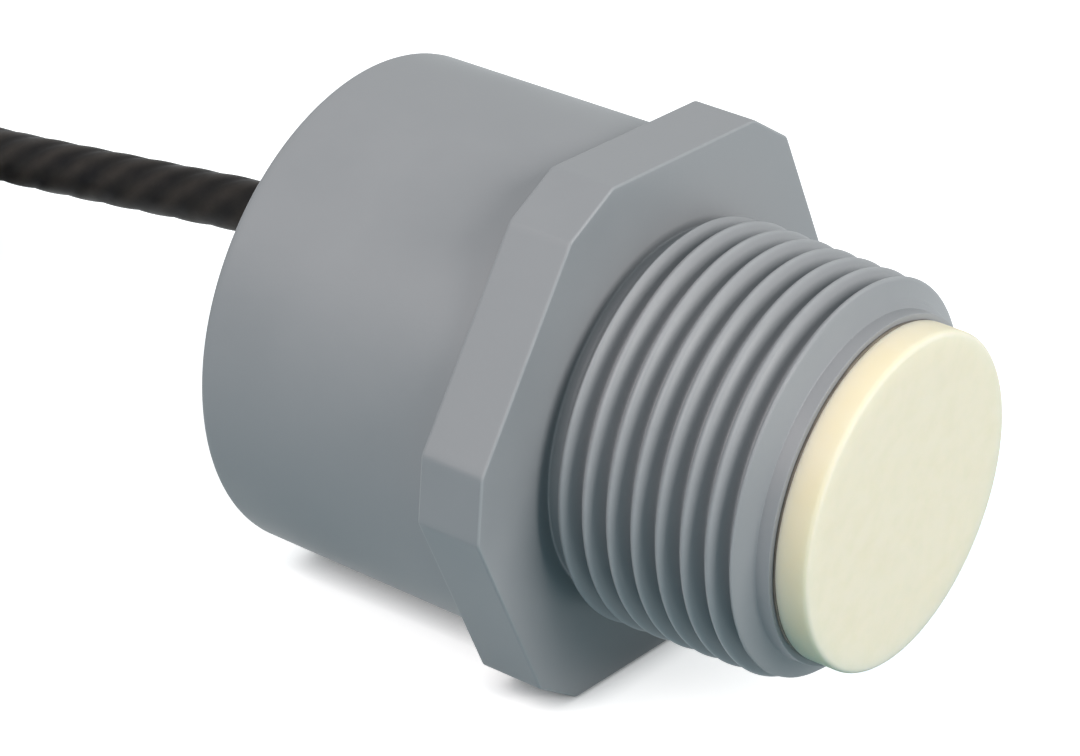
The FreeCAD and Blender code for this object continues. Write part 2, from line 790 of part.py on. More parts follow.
# Bare ends: four coloured cores with tinned tips, fanned out on the floor
def flat_heading(degrees):
    """A level direction, turned from the tail's own by so much."""
    return Rotation(Vector(0, 0, 1), degrees).multVec(tail_heading)


tail_heading = TAIL[-1] - TAIL[-2]
tail_heading.normalize()
tail_across = Vector(0, 0, 1).cross(tail_heading)
tail_across.normalize()
tail_up = tail_heading.cross(tail_across)
strand_radius = size("strand_diameter") / 2
starts = core_starts(TAIL[-1], tail_across, tail_up)
tips = []
fan = (
    ("core_red", 37.0, 14.0),
    ("core_black", 15.0, 15.5),
    ("core_white", -16.0, 14.5),
    ("core_green", 3.0, 16.0),
)
for (name, angle, last_run), begin in zip(fan, starts):
    rest = conductor_radius + 0.05
    near = begin + tail_heading * 7.0
    bend = near + flat_heading(0.75 * angle) * 10.0
    far = bend + flat_heading(angle) * last_run
    bend.z = rest
    far.z = rest
    core, core_length, core_bend = tube([begin, near, bend, far], conductor_radius)
    keep(feature(name, core))
    print(name, "length %.1f, tightest bend %.1f mm" % (core_length, core_bend))
    direction = far - bend
    tips.append(Part.makeCylinder(strand_radius, size("strand_length"), far, direction))
keep(feature("tinned_ends", Part.makeCompound(tips)))


# Checks and files
doc.recompute()
for obj in doc.Objects:
    if "Invalid" in obj.State or "Error" in obj.State:
        raise RuntimeError("%s did not build" % obj.Label)
for piece in finished:
    shape = piece.Shape
    if shape.isNull() or not shape.isValid() or not shape.Solids:
        raise RuntimeError("%s has no valid solid" % piece.Label)
os.makedirs("parts", exist_ok=True)
for piece in finished:
    piece.Shape.exportStep("parts/%s.step" % piece.Label)
    print("%-20s %d solid(s) %9.2f mm3" % (piece.Label, len(piece.Shape.Solids), piece.Shape.Volume))
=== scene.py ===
# %% [markdown]
# An ultrasonic level sensor lies on a white table. It has a grey moulded housing with a
# wrench hexagon and a pipe thread, a cream sounding face and a black cable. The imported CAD
# model is loaded first and never moved. Pieces that the eye lands on get a finer mesh here,
# and the pieces potted inside keep their CAD mesh and only get a material. Lengths are in
# millimetres until they reach Blender, which counts in metres, so MM turns one into the
# other.

# %% Load the fixed frame
import json
from math import cos, pi, radians, sin, sqrt, tan

import bpy
import numpy as np
from mathutils import Matrix, Vector


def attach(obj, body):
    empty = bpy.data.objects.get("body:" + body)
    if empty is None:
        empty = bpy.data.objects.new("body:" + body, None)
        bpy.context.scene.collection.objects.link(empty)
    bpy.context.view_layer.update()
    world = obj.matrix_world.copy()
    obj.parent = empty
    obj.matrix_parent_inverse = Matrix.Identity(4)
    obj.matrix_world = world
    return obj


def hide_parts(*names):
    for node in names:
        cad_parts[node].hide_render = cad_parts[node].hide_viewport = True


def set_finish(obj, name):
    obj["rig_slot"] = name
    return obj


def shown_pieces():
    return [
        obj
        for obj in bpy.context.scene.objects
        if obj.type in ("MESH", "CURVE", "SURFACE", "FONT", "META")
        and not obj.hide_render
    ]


MM = 0.001
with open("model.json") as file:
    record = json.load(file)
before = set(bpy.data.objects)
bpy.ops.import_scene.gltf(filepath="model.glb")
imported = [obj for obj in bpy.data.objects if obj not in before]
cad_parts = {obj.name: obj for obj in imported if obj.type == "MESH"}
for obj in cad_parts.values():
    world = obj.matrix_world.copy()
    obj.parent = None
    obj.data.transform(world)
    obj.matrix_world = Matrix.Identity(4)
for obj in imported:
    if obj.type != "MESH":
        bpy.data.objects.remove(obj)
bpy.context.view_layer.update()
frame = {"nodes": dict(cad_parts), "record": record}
RECORD = frame["record"]

# %% [markdown]
# The sensor rests on one flat of its hexagon and on the rim of its hub, so its own axis is
# tilted a little. The record's mounts say where the thread's axis and the upper flat are.
# They give the matrix that turns sensor coordinates (X up, Y towards the camera, Z along
# the axis, zero at the hexagon's front) into places on the table.

# %% The sensor's own axes
MOUNTS = {mount["name"]: mount for mount in RECORD["mounts"]}
AXIS = Vector(MOUNTS["taper_thread"]["axis"]).normalized()
UP = Vector(MOUNTS["wrench_flat_upper"]["axis"]).normalized()
SIDE = AXIS.cross(UP)
THREAD_MOUNT_AT = 9.2 * MM
ORIGIN = Vector(MOUNTS["taper_thread"]["pos_m"]) - AXIS * THREAD_MOUNT_AT
SENSOR = Matrix.Translation(ORIGIN) @ Matrix((UP, SIDE, AXIS)).transposed().to_4x4()
print("sensor axis", [round(v, 4) for v in AXIS])

# %% [markdown]
# The camera comes first, because the cord has to be laid outside its view. It stands where
# the photographer stood: above the sounding face and to its side, with a long lens, and
# tipped so that the right of the picture is a little raised.

# %% Camera
CAMERA_PLACE = Vector((158.28, -240.44, 170.25)) * MM
CAMERA_AIM = Vector((-4.72, -3.02, 22.33)) * MM
CAMERA_TIP = radians(5.91)
CAMERA_LENS = 136.0

camera = bpy.data.objects.new("camera", bpy.data.cameras.new("camera"))
bpy.context.scene.collection.objects.link(camera)
camera.data.lens = CAMERA_LENS
camera.data.sensor_width = 36.0
camera.data.clip_start = 0.01
camera.data.clip_end = 10.0
aim = (CAMERA_AIM - CAMERA_PLACE).to_track_quat("-Z", "Y").to_matrix().to_4x4()
camera.matrix_world = Matrix.Translation(CAMERA_PLACE) @ aim @ Matrix.Rotation(CAMERA_TIP, 4, "Z")
bpy.context.scene.camera = camera
print("camera is", round((CAMERA_AIM - CAMERA_PLACE).length / MM), "mm from the sensor")

# %% [markdown]
# The cable is 1.2 m long. It leaves through a rubber sleeve above the hub's centre and runs
# straight out of the picture. What the photograph doesn't show is wound into a coil just
# outside the view. Its line is one NURBS spline. It joins the coil's upper layer from above,
# winds inwards there, sinks into the lower layer and winds outwards to its bare end.

# %% Route of the cable
CABLE = 4.6
EXIT = Vector((-28.503, 0.0, 25.818))
SLEEVE_HEADING = -AXIS
LEAD = [
    EXIT,
    EXIT + SLEEVE_HEADING * 4.25,
    Vector((-46.4, 0.0, 23.14)),
    Vector((-69.5, 0.0, 18.93)),
    Vector((-82.0, 6.4, 14.8)),
    Vector((-92.2, 16.2, 10.6)),
    Vector((-103.2, 19.4, 7.8)),
    Vector((-114.65, 18.4, 6.4)),
]
JOIN_AT = 105
COIL_CENTRE = Vector((-106.5, -12.0))
MEAN_RADIUS = 26.5
TURN_STEP = 1.01 * CABLE
VALLEY = TURN_STEP * sqrt(0.75)
LOW_TURNS, HIGH_TURNS = 4, 3
low_outer = MEAN_RADIUS + 1.5 * TURN_STEP
high_inner = MEAN_RADIUS - TURN_STEP
high_outer = MEAN_RADIUS + TURN_STEP
TAIL = [
    COIL_CENTRE.to_3d() + Vector(step)
    for step in (
        (0.0, -low_outer, 2.35),
        (10.0, -low_outer, 2.35),
        (20.5, -low_outer + 1.27, 2.35),
    )
]
print("coil's outer radius", round(low_outer, 1))

# %% [markdown]
# Between two turns the cable has to step sideways by its own thickness. A plain spiral would
# spread each step over the whole turn, and the upper layer would never lie in the valleys of
# the lower one. So all the steps share one quarter of the circle, where the upper layer
# rides over the lower one and lies a little higher. Counted back from the cable's end, the
# last lower turn starts to climb before that quarter and settles again in its last part.

# %% Turns of the coil
POINT_EVERY = 15
END_AT = 270
STEP_FROM = 270
REST = CABLE / 2 + 0.05
UPPER = CABLE / 2 + VALLEY
OVER = REST + CABLE
CLIMB_BEFORE, CLIMB_WITHIN = 60, 45
SETTLE_FROM = 330


def smooth(t):
    """A step from 0 to 1 that starts and ends level."""
    t = min(max(t, 0.0), 1.0)
    return t * t * (3 - 2 * t)


def wound(turned):
    """Radius and height of the cable so many degrees of winding before its end."""
    turn, within = divmod(turned, 360)
    stepped = smooth((within - STEP_FROM) / (360 - STEP_FROM))
    if turn < LOW_TURNS - 1:
        return low_outer - (turn + stepped) * TURN_STEP, REST
    if turn == LOW_TURNS - 1:
        inner = low_outer - turn * TURN_STEP
        climb = smooth((within - STEP_FROM + CLIMB_BEFORE) / (CLIMB_BEFORE + CLIMB_WITHIN))
        settle = smooth((within - SETTLE_FROM) / (360 - SETTLE_FROM))
        height = REST + climb * (OVER - REST) - settle * (OVER - UPPER)
        return inner + stepped * (high_inner - inner), height
    bump = sin(pi * (within - STEP_FROM) / (360 - STEP_FROM)) if within > STEP_FROM else 0.0
    radius = high_inner + (turn - LOW_TURNS + stepped) * TURN_STEP
    return min(radius, high_outer), UPPER + bump * (OVER - UPPER)


# %% [markdown]
# The turns are more control points of the cable's own spline, one every POINT_EVERY degrees.
# A spline cuts inside its control points, so they stand a little outwards.

# %% Control points of the turns
joined_after = 360 * (LOW_TURNS + HIGH_TURNS - 1) + END_AT - JOIN_AT
outwards = 1 / cos(radians(POINT_EVERY / 2))
TURNS = []
for turned in range(joined_after - POINT_EVERY, 0, -POINT_EVERY):
    radius, height = wound(turned)
    angle = radians(END_AT - turned)
    TURNS.append(Vector((
        COIL_CENTRE.x + cos(angle) * radius * outwards,
        COIL_CENTRE.y + sin(angle) * radius * outwards,
        height,
    )))
print(len(TURNS), "points in", round(joined_after / 360, 2), "turns")

# %% [markdown]
# A cord follows points that are read from a spline, not from straight runs, so that it
# bends like cable. The spline is made without thickness, read as a line, spread out evenly
# and deleted again.


# %% Reading a spline
def spline_points(controls, spacing):
    """Evenly spaced points along a NURBS spline with these control points, in metres."""
    line = bpy.data.curves.new("route", "CURVE")
    line.dimensions = "3D"
    spline = line.splines.new("NURBS")
    spline.points.add(len(controls) - 1)
    for point, place in zip(spline.points, controls):
        point.co = (*(place * MM), 1.0)
    spline.order_u = 3
    spline.use_endpoint_u = True
    line.resolution_u = 24
    holder = bpy.data.objects.new("route", line)
    bpy.context.scene.collection.objects.link(holder)
    mesh = bpy.data.meshes.new_from_object(holder)
    dense = np.empty(len(mesh.vertices) * 3)
    mesh.vertices.foreach_get("co", dense)
    dense = dense.reshape(-1, 3)
    bpy.data.objects.remove(holder)
    bpy.data.curves.remove(line)
    bpy.data.meshes.remove(mesh)
    along = np.concatenate([[0], np.cumsum(np.linalg.norm(np.diff(dense, axis=0), axis=1))])
    count = max(2, round(along[-1] / (spacing * MM)) + 1)
    wanted = np.linspace(0, along[-1], count)
    return np.stack([np.interp(wanted, along, dense[:, k]) for k in range(3)], axis=1), along[-1]


LAY = 16.4
JACKET_COLUMNS = 32
RING_SPACING = LAY / JACKET_COLUMNS

cable_line, cable_length = spline_points(LEAD + TURNS + TAIL, RING_SPACING)
print("cable: %.1f mm, %d rings" % (cable_length / MM, len(cable_line)))

# %% [markdown]
# Every new mesh is a grid of points: rings, one after the other. Modifiers could make some of
# the shapes, but a grid gives closed meshes of plain quads whose every row has a reason. This
# helper joins the rings into faces.


# %% From rings of points to a mesh
def joined(rings, ends):
    """Vertices and faces of a grid of rings, whose ends are "capped" or "looped"."""
    rows, columns, _ = rings.shape
    points = rings.reshape(-1, 3)
    index = np.arange(rows * columns).reshape(rows, columns)
    low = index if ends == "looped" else index[:-1]
    high = np.roll(index, -1, axis=0) if ends == "looped" else index[1:]
    quads = np.stack(
        [low, np.roll(low, -1, axis=1), np.roll(high, -1, axis=1), high], axis=-1
    ).reshape(-1, 4)
    faces = quads.tolist()
    if ends == "capped":
        middle = len(points)
        points = np.vstack([points, rings[0].mean(axis=0), rings[-1].mean(axis=0)])
        for k in range(columns):
            after = (k + 1) % columns
            faces.append([middle, index[0, after], index[0, k]])
            faces.append([middle + 1, index[-1, k], index[-1, after]])
    return points, faces


# %% [markdown]
# A ring may run either way round, so its faces may look inwards. Then the volume inside them
# comes out negative, and they are turned round before the mesh is made.


# %% From a mesh to a piece
def volume(points, faces):
    """Signed volume inside the faces, each of three or four corners."""
    corners = np.array([face if len(face) == 4 else [*face, face[2]] for face in faces])
    a, b, c, d = (points[corners[:, k]] for k in range(4))
    return (np.cross(b, c) * a + np.cross(c, d) * a).sum() / 6


def new_piece(name, parts, matrix=None):
    """A smooth-shaded object from one or more closed grids, moved into place by a matrix."""
    points, faces = [], []
    for part_points, part_faces in parts:
        if volume(part_points, part_faces) < 0:
            part_faces = [face[::-1] for face in part_faces]
        start = sum(len(p) for p in points)
        points.append(part_points)
        faces += [[start + int(v) for v in face] for face in part_faces]
    mesh = bpy.data.meshes.new(name)
    mesh.from_pydata(np.vstack(points).tolist(), [], faces)
    mesh.validate()
    if matrix is not None:
        mesh.transform(matrix)
    mesh.shade_smooth()
    piece = bpy.data.objects.new(name, mesh)
    bpy.context.scene.collection.objects.link(piece)
    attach(piece, "root")
    print("%s: %d faces" % (name, len(mesh.polygons)))
    return piece


# %% [markdown]
# A tube needs a direction for each ring that never twists by itself. The first ring picks
# one, and each next ring carries it on. The radius may change around and along the tube.


# %% Tubes along a line
def cross_directions(line):
    """Two directions across the line at each point, carried along without twist."""
    tangents = np.gradient(line, axis=0)
    tangents /= np.linalg.norm(tangents, axis=1)[:, None]
    across = np.cross(tangents[0], (0.0, 0.0, 1.0))
    sideways = np.empty_like(line)
    for k, tangent in enumerate(tangents):
        across = across - tangent * (across @ tangent)
        across /= np.linalg.norm(across)
        sideways[k] = across
    return sideways, np.cross(tangents, sideways)


def tube_rings(line, radius, columns, twist_each=0.0):
    """Rings about a line. The radius is a number or an array of rows by columns."""
    sideways, upwards = cross_directions(line)
    around = np.arange(columns) / columns * 2 * pi
    angles = around[None, :] + np.arange(len(line))[:, None] * twist_each
    reach = np.broadcast_to(radius, angles.shape)[..., None]
    spokes = np.cos(angles)[..., None] * sideways[:, None]
    spokes = spokes + np.sin(angles)[..., None] * upwards[:, None]
    return line[:, None] + spokes * reach


# %% [markdown]
# The black jacket shows the four cores beneath it: four soft ridges wind round it, one turn
# in 16.4 mm. A bump in the material would leave the outline smooth, so the ridges are in the
# mesh. The rings are spaced so that one column of the mesh follows one ridge. At the far end
# the jacket is cut square.

# %% Cable jacket
RIDGES = 4
RIDGE_HEIGHT = 0.1
RIDGE_ROUNDNESS = 0.8
RIDGE_PROUD = 0.02

phase = np.arange(JACKET_COLUMNS) / JACKET_COLUMNS * 2 * pi
ridge = np.abs(np.cos(phase * RIDGES / 2)) ** RIDGE_ROUNDNESS
jacket_radius = (CABLE / 2 - RIDGE_HEIGHT * (1 - ridge) + RIDGE_PROUD) * MM
twist = -2 * pi / JACKET_COLUMNS
jacket_rings = tube_rings(cable_line, jacket_radius[None, :], JACKET_COLUMNS, twist)
jacket = new_piece("cable_jacket", [joined(jacket_rings, "capped")])
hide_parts("cable_lead", "cable_coil", "cable_tail")
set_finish(jacket, "cable_jacket")

# %% [markdown]
# Four cores come out of the jacket's end, two by two about its axis, and fan out on the
# table, as they do when an electrician has stripped the jacket. Each is a short spline of
# its own. FAN gives a core's angle, the length of its last run and its place in the jacket.

# %% Bare cores
CORE = 1.2
CORE_COLUMNS = 20
CORE_SPACING = 0.5
CORE_REST = CORE / 2 + 0.05
SPREAD = 0.72
STRAIGHT_RUN, TURNING_RUN = 7.0, 10.0
TURNED_BY_THEN = 0.75
FAN = {
    "red": (37.0, 14.0, (1, 1)),
    "black": (15.0, 15.5, (1, -1)),
    "white": (-16.0, 14.5, (-1, 1)),
    "green": (3.0, 16.0, (-1, -1)),
}

tail_heading = (TAIL[-1] - TAIL[-2]).normalized()
tail_across = Vector((0, 0, 1)).cross(tail_heading).normalized()
tail_up = tail_heading.cross(tail_across)


def turned_heading(degrees):
    """The tail's direction, turned level by so much."""
    return Matrix.Rotation(radians(degrees), 3, "Z") @ tail_heading


cores, core_lines = {}, {}
for colour, (angle, last_run, (across, upward)) in FAN.items():
    begin = TAIL[-1] + tail_across * (SPREAD * across) + tail_up * (SPREAD * upward)
    near = begin + tail_heading * STRAIGHT_RUN
    bend = near + turned_heading(TURNED_BY_THEN * angle) * TURNING_RUN
    far = bend + turned_heading(angle) * last_run
    bend.z = far.z = CORE_REST
    line, length = spline_points([begin, near, bend, far], CORE_SPACING)
    core_lines[colour] = (line, begin)
    core_rings = tube_rings(line, CORE / 2 * MM, CORE_COLUMNS)
    core = new_piece("core_" + colour + "_wire", [joined(core_rings, "capped")])
    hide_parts("core_" + colour)
    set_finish(core, "core_" + colour + "_insulation")
    cores[colour] = core
    print(colour, "core: %.1f mm" % (length / MM))

# %% [markdown]
# The cores end in a few millimetres of bare copper, tinned so that it goes into a terminal.
# A smooth rod would look like a pin, so it is seven fine strands: six wound round a middle
# one, a little apart at their tips. They start inside the insulation.

# %% Tinned strands
STRAND = 0.25
STRANDS_LENGTH, STRANDS_INSIDE = 6.0, 0.6
STRANDS_LAY = 4.5
OUTER_STRANDS = 6
FRAYED_LENGTH, FRAYED_BY = 1.5, 0.05

for colour, (line, _) in core_lines.items():
    tip, before = Vector(line[-1]), Vector(line[-3])
    along = (tip - before).normalized()
    across = along.cross(Vector((0, 0, 1))).normalized()
    lift = across.cross(along)
    steps = np.linspace(-STRANDS_INSIDE, STRANDS_LENGTH, 34)
    frayed = np.clip((steps - STRANDS_LENGTH + FRAYED_LENGTH) / FRAYED_LENGTH, 0, 1) * FRAYED_BY
    parts = []
    for strand in range(OUTER_STRANDS + 1):
        from_middle = (0.0 if strand == OUTER_STRANDS else STRAND) + frayed
        turn = steps / STRANDS_LAY * 2 * pi + strand * pi / 3
        ends = (
            np.array(tip)[None]
            + steps[:, None] * MM * np.array(along)[None]
            + (from_middle * np.cos(turn))[:, None] * MM * np.array(across)[None]
            + (from_middle * np.sin(turn))[:, None] * MM * np.array(lift)[None]
        )
        parts.append(joined(tube_rings(ends, STRAND / 2 * MM, 8), "capped"))
    strands = new_piece("tinned_" + colour, parts)
    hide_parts("tinned_ends")
    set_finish(strands, "tinned_copper")

# %% [markdown]
# Between the cores a pale filler string shows at the jacket's cut end. Only its end is seen,
# so it is a short plug with a rounded front.

# %% Filler at the cut end
FILLER_ALONG = np.array([-0.3, 0.0, 0.16, 0.2])
FILLER_RADII = np.array([1.78, 1.78, 1.7, 1.3])

filler_line = np.array(TAIL[-1] * MM) + FILLER_ALONG[:, None] * MM * np.array(tail_heading)
filler_rings = tube_rings(filler_line, FILLER_RADII[:, None] * MM, 32)
filler = new_piece("core_filler", [joined(filler_rings, "capped")])
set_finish(filler, "core_white_insulation")

# %% [markdown]
# The jacket leaves the sensor at the sleeve's outer end, and each core leaves the jacket.

for colour, core in cores.items():
    line, begin = core_lines[colour]
print("cords declared:", 1 + len(cores))

# %% [markdown]
# The housing is one moulding, so it is one closed grid. Each ring of it runs round the
# axis, and each row has a radius and a height that may change with the angle. A boolean of a
# hexagon, a tube and a thread would leave slivers where they meet, and none of its edges
# could be rounded evenly. Extra columns stand at the hexagon's twelve corners, so that its
# flats stay flat and its edges crisp.

# %% Columns round the housing
ACROSS_FLATS, ACROSS_CORNERS = 44.0, 47.5
CORNER_AT = 23.12
EVEN_COLUMNS = 240
BESIDE_CORNER = np.array([-1.5, -0.5, 0.0, 0.5, 1.5])
CLEAR_OF_CORNER = 1.9
CORNER_BLUNT = 0.03

corners = np.array([60 * k + side * CORNER_AT for k in range(6) for side in (-1, 1)]) % 360


def from_corner(phi):
    """Degrees to the nearest corner."""
    return np.abs((phi[:, None] - corners[None] + 180) % 360 - 180).min(axis=1)


even = np.arange(EVEN_COLUMNS) * 360 / EVEN_COLUMNS
even = even[from_corner(even) > CLEAR_OF_CORNER]
PHI = np.sort(np.concatenate([even, (corners[:, None] + BESIDE_CORNER).ravel() % 360]))


def hexagon_radius(phi):
    """Distance from the axis to the side of the hexagon whose corners are cut."""
    from_flat = np.radians((phi + 30) % 60 - 30)
    from_cut = np.radians(phi % 60 - 30)
    flat, cut = ACROSS_FLATS / 2 / np.cos(from_flat), ACROSS_CORNERS / 2 / np.cos(from_cut)
    return np.minimum(flat, cut) - CORNER_BLUNT * (from_corner(phi) < 0.01)


HEX = hexagon_radius(PHI)
print(len(PHI), "columns; hexagon from %.2f to %.2f mm" % (HEX.min(), HEX.max()))

# %% [markdown]
# The thread is the same taper pipe thread as in the CAD: 2.21 mm from ridge to ridge, and
# one in sixteen on the diameter. A Screw modifier could wind a profile, but it gives no run
# out at the ends. So the thread is a formula for the radius at each angle and height. A
# moulded thread has rounded ridges, and the straight flanks are blended into the crest and
# the root. It starts in a plain groove at the hexagon and ends in a steep bevel that leads
# to the plain ring behind the sounding face. CREST_SHARE is the part of half a pitch in
# which the ridge is round.

# %% Profile of the thread
PITCH, TAPER, DEPTH = 2.2087, 1 / 32, 1.5
CREST_RADIUS = 16.84
GROOVE_AT = 0.568
CREST_SHARE, CREST_CURVE = 0.55, 1.409
RELIEF_RADIUS, RELIEF_WIDTH, RELIEF_SLOPE = 15.30, 1.2, 2.0
THREAD_END, SPIGOT_START = 17.4, 18.4
SPIGOT_RADIUS, SPIGOT_END = 14.2, 19.6
ROOT_BLEND, RUN_OUT_BLEND, SPIGOT_BLEND = 0.03, 0.06, 0.006
BEVEL_SLOPE = (CREST_RADIUS - TAPER * THREAD_END - SPIGOT_RADIUS) / (SPIGOT_START - THREAD_END)


def soft_lower(a, b, blend):
    """The lower of two surfaces, blended where they meet."""
    return -blend * np.logaddexp(-a / blend, -b / blend)


def soft_upper(a, b, blend):
    """The upper of two surfaces, blended where they meet."""
    return blend * np.logaddexp(a / blend, b / blend)


def thread_radius(phi, height):
    """Radius of the threaded end at an angle and a height above the hexagon."""
    crest = CREST_RADIUS - TAPER * height
    turn = (height - GROOVE_AT) / PITCH - phi / 360
    from_ridge = 1 - np.abs(turn - np.round(turn)) * 2
    round_part = CREST_CURVE * from_ridge**2
    flank = CREST_CURVE * CREST_SHARE * (2 * from_ridge - CREST_SHARE)
    sunk = np.where(from_ridge < CREST_SHARE, round_part, flank)
    sunk = soft_lower(sunk, np.ones_like(sunk), ROOT_BLEND)
    threaded = crest - DEPTH * sunk
    relief = RELIEF_RADIUS + np.maximum((height - RELIEF_WIDTH) * RELIEF_SLOPE, 0)
    bevel = SPIGOT_RADIUS + BEVEL_SLOPE * (SPIGOT_START - height)
    body = soft_lower(soft_lower(threaded, relief, RUN_OUT_BLEND), bevel, RUN_OUT_BLEND)
    return soft_upper(body, np.full_like(body, SPIGOT_RADIUS), SPIGOT_BLEND)


print("thread: %.1f turns" % (THREAD_END / PITCH))

# %% [markdown]
# Now the rows, from the hub's socket over the rim, the hub, the hexagon and the thread to
# the bore, and back to the socket. A rounded edge is a few rows on a small arc. A row just
# before and after it, HOLD away, keeps the faces beside it flat when they are shaded smooth.

# %% Rows along the housing
THICK = 5.85
RIM = -30.15
SOCKET, BORE, WEB = 16.75, 12.2, -4.6
HUB_AT_RIM, HUB_AT_FLANGE = 21.0, 21.16
EDGE = 0.2
RIM_ROUND, MOUTH = 0.45, 0.5
ROOT_FILLET, RELIEF_FILLET = 0.35, 0.15
LIP, BORE_BEVEL = 0.08, 0.2
ROW_STEP = 0.075
HOLD = 0.12
SPIGOT_ROWS = SPIGOT_START + np.array([-0.05, -0.015, 0.015, 0.05])

rows = []


def row(radius, height):
    """Adds one ring of the housing."""
    rows.append((np.broadcast_to(radius, PHI.shape), np.broadcast_to(float(height), PHI.shape)))


def arc(radius, height, rounding, start, end, steps=4):
    """Rows on a small arc about a centre in the plane of the axis; angles in degrees."""
    for degrees in np.linspace(start, end, steps + 1):
        turned = radians(degrees)
        row(radius + rounding * cos(turned), height + rounding * sin(turned))


# %% [markdown]
# The hub is an open cup with a rounded rim. Its wall leans out slightly towards the hexagon,
# as it had to come out of a mould, and a small fillet joins them.

# %% Rows of the hub and the hexagon
for height in (WEB - HOLD, -12.0, -20.0, -27.0, RIM + MOUTH + HOLD):
    row(SOCKET, height)
arc(SOCKET + MOUTH, RIM + MOUTH, MOUTH, 180, 270)
row(SOCKET + MOUTH + HOLD, RIM)
row(HUB_AT_RIM - RIM_ROUND - HOLD, RIM)
arc(HUB_AT_RIM - RIM_ROUND, RIM + RIM_ROUND, RIM_ROUND, 270, 360, 5)
for share in (0.02, 0.25, 0.5, 0.75, 0.98):
    low, high = RIM + RIM_ROUND, -THICK - ROOT_FILLET
    row(HUB_AT_RIM + share * (HUB_AT_FLANGE - HUB_AT_RIM), low + share * (high - low))
arc(HUB_AT_FLANGE + ROOT_FILLET, -THICK - ROOT_FILLET, ROOT_FILLET, 180, 90)
arc(HEX - EDGE, -THICK + EDGE, EDGE, 270, 360)
row(HEX, -THICK + EDGE + HOLD)
row(HEX, -THICK / 2)
row(HEX, -EDGE - HOLD)
arc(HEX - EDGE, -EDGE, EDGE, 0, 90)
print(len(rows), "rows up to the hexagon's front")

# %% [markdown]
# The thread takes a row every ROW_STEP, about thirty for each ridge. Four rows close together
# keep the corner at the foot of the bevel.

# %% Rows of the thread and the bore
inner_edge = RELIEF_RADIUS + 2 * RELIEF_FILLET
for share in (0.95, 0.6, 0.3, 0.0):
    row(inner_edge + share * (HEX - EDGE - inner_edge), 0.0)
arc(RELIEF_RADIUS + RELIEF_FILLET, RELIEF_FILLET, RELIEF_FILLET, 270, 180, 3)
thread_rows = np.arange(RELIEF_FILLET + ROW_STEP, SPIGOT_END - LIP - 0.05, ROW_STEP)
thread_rows = thread_rows[np.abs(thread_rows - SPIGOT_START) > 0.07]
for height in np.sort(np.concatenate([thread_rows, SPIGOT_ROWS])):
    row(thread_radius(PHI, height), height)
arc(SPIGOT_RADIUS - LIP, SPIGOT_END - LIP, LIP, 0, 90)
row(BORE + BORE_BEVEL, SPIGOT_END)
row(BORE, SPIGOT_END - BORE_BEVEL)
row(BORE, WEB + HOLD)
row(BORE + HOLD, WEB)
row(SOCKET - HOLD, WEB)
print(len(rows), "rows in all")

# %% [markdown]
# Radius and height become X and Y across the axis and Z along it. The last ring is joined to
# the first, so the mesh has no end, and the matrix from the mounts lays it on the table.

# %% Housing mesh
radii = np.array([r for r, _ in rows])
heights = np.array([z for _, z in rows])
angle = np.radians(PHI)[None, :]
housing_rings = np.stack([radii * np.cos(angle), radii * np.sin(angle), heights], axis=-1) * MM
housing = new_piece("housing_moulding", [joined(housing_rings, "looped")], SENSOR)
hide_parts("housing")
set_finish(housing, "housing_pvc")

# %% [markdown]
# The round pieces are lathe work: an outline turned about the sensor's axis, or about the
# cable's axis for the sleeve. A Bevel modifier would round every corner alike, so each
# corner of an outline carries its own rounding and is replaced by a short arc.


# %% Turned pieces
def rounded_outline(sharp, steps=5):
    """Replaces each (radius, height, rounding) corner by a short arc of that rounding."""
    points = []
    for k, (r, z, rounding) in enumerate(sharp):
        here = np.array([r, z])
        if rounding == 0:
            points.append(here)
            continue
        before = np.array(sharp[k - 1][:2]) - here
        after = np.array(sharp[(k + 1) % len(sharp)][:2]) - here
        before /= np.linalg.norm(before)
        after /= np.linalg.norm(after)
        half = np.arccos(np.clip(before @ after, -1, 1)) / 2
        reach = rounding / tan(half)
        middle = here + (before + after) / np.linalg.norm(before + after) * rounding / sin(half)
        first, last = here + before * reach, here + after * reach
        points.append(first + before * min(HOLD, reach))
        for t in np.linspace(0, 1, steps + 1):
            spoke = (first - middle) * (1 - t) + (last - middle) * t
            points.append(middle + spoke / np.linalg.norm(spoke) * rounding)
        points.append(last + after * min(HOLD, reach))
    return np.array(points)


def turned_rings(outline, columns, aside=0.0):
    """Rings of an outline turned about the sensor's axis, or one set aside from it."""
    around = np.arange(columns) / columns * 2 * pi
    r, z = outline[:, :1], outline[:, 1:]
    upward, sideways = r * np.cos(around) + aside, r * np.sin(around)
    return np.stack([upward, sideways, z + 0 * around], axis=-1) * MM


# %% [markdown]
# The sounding face is cast resin, glued on the tip of the thread. Its rim is slightly
# softened by sanding. Its stem goes down the bore to the ceramic disc. Rings at 4 and 9 mm
# keep the flat front from being one fan of long triangles.

# %% Sounding face
ROUND_COLUMNS = 192
DISC, DISC_FRONT, DISC_BACK = 13.75, 22.65, 19.8
STEM, STEM_BACK = 12.0, 15.8
MIDDLE_HOLE = 0.01

face_outline = rounded_outline([
    (MIDDLE_HOLE, STEM_BACK, 0),
    (STEM, STEM_BACK, 0.1),
    (STEM, DISC_BACK, 0),
    (DISC, DISC_BACK, 0.15),
    (DISC, DISC_FRONT, 0.42),
    (9.0, DISC_FRONT, 0),
    (4.0, DISC_FRONT, 0),
    (MIDDLE_HOLE, DISC_FRONT, 0),
])
face_rings = turned_rings(face_outline, ROUND_COLUMNS)
face = new_piece("sounding_disc", [joined(face_rings, "capped")], SENSOR)
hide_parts("sounding_face")
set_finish(face, "face_resin")

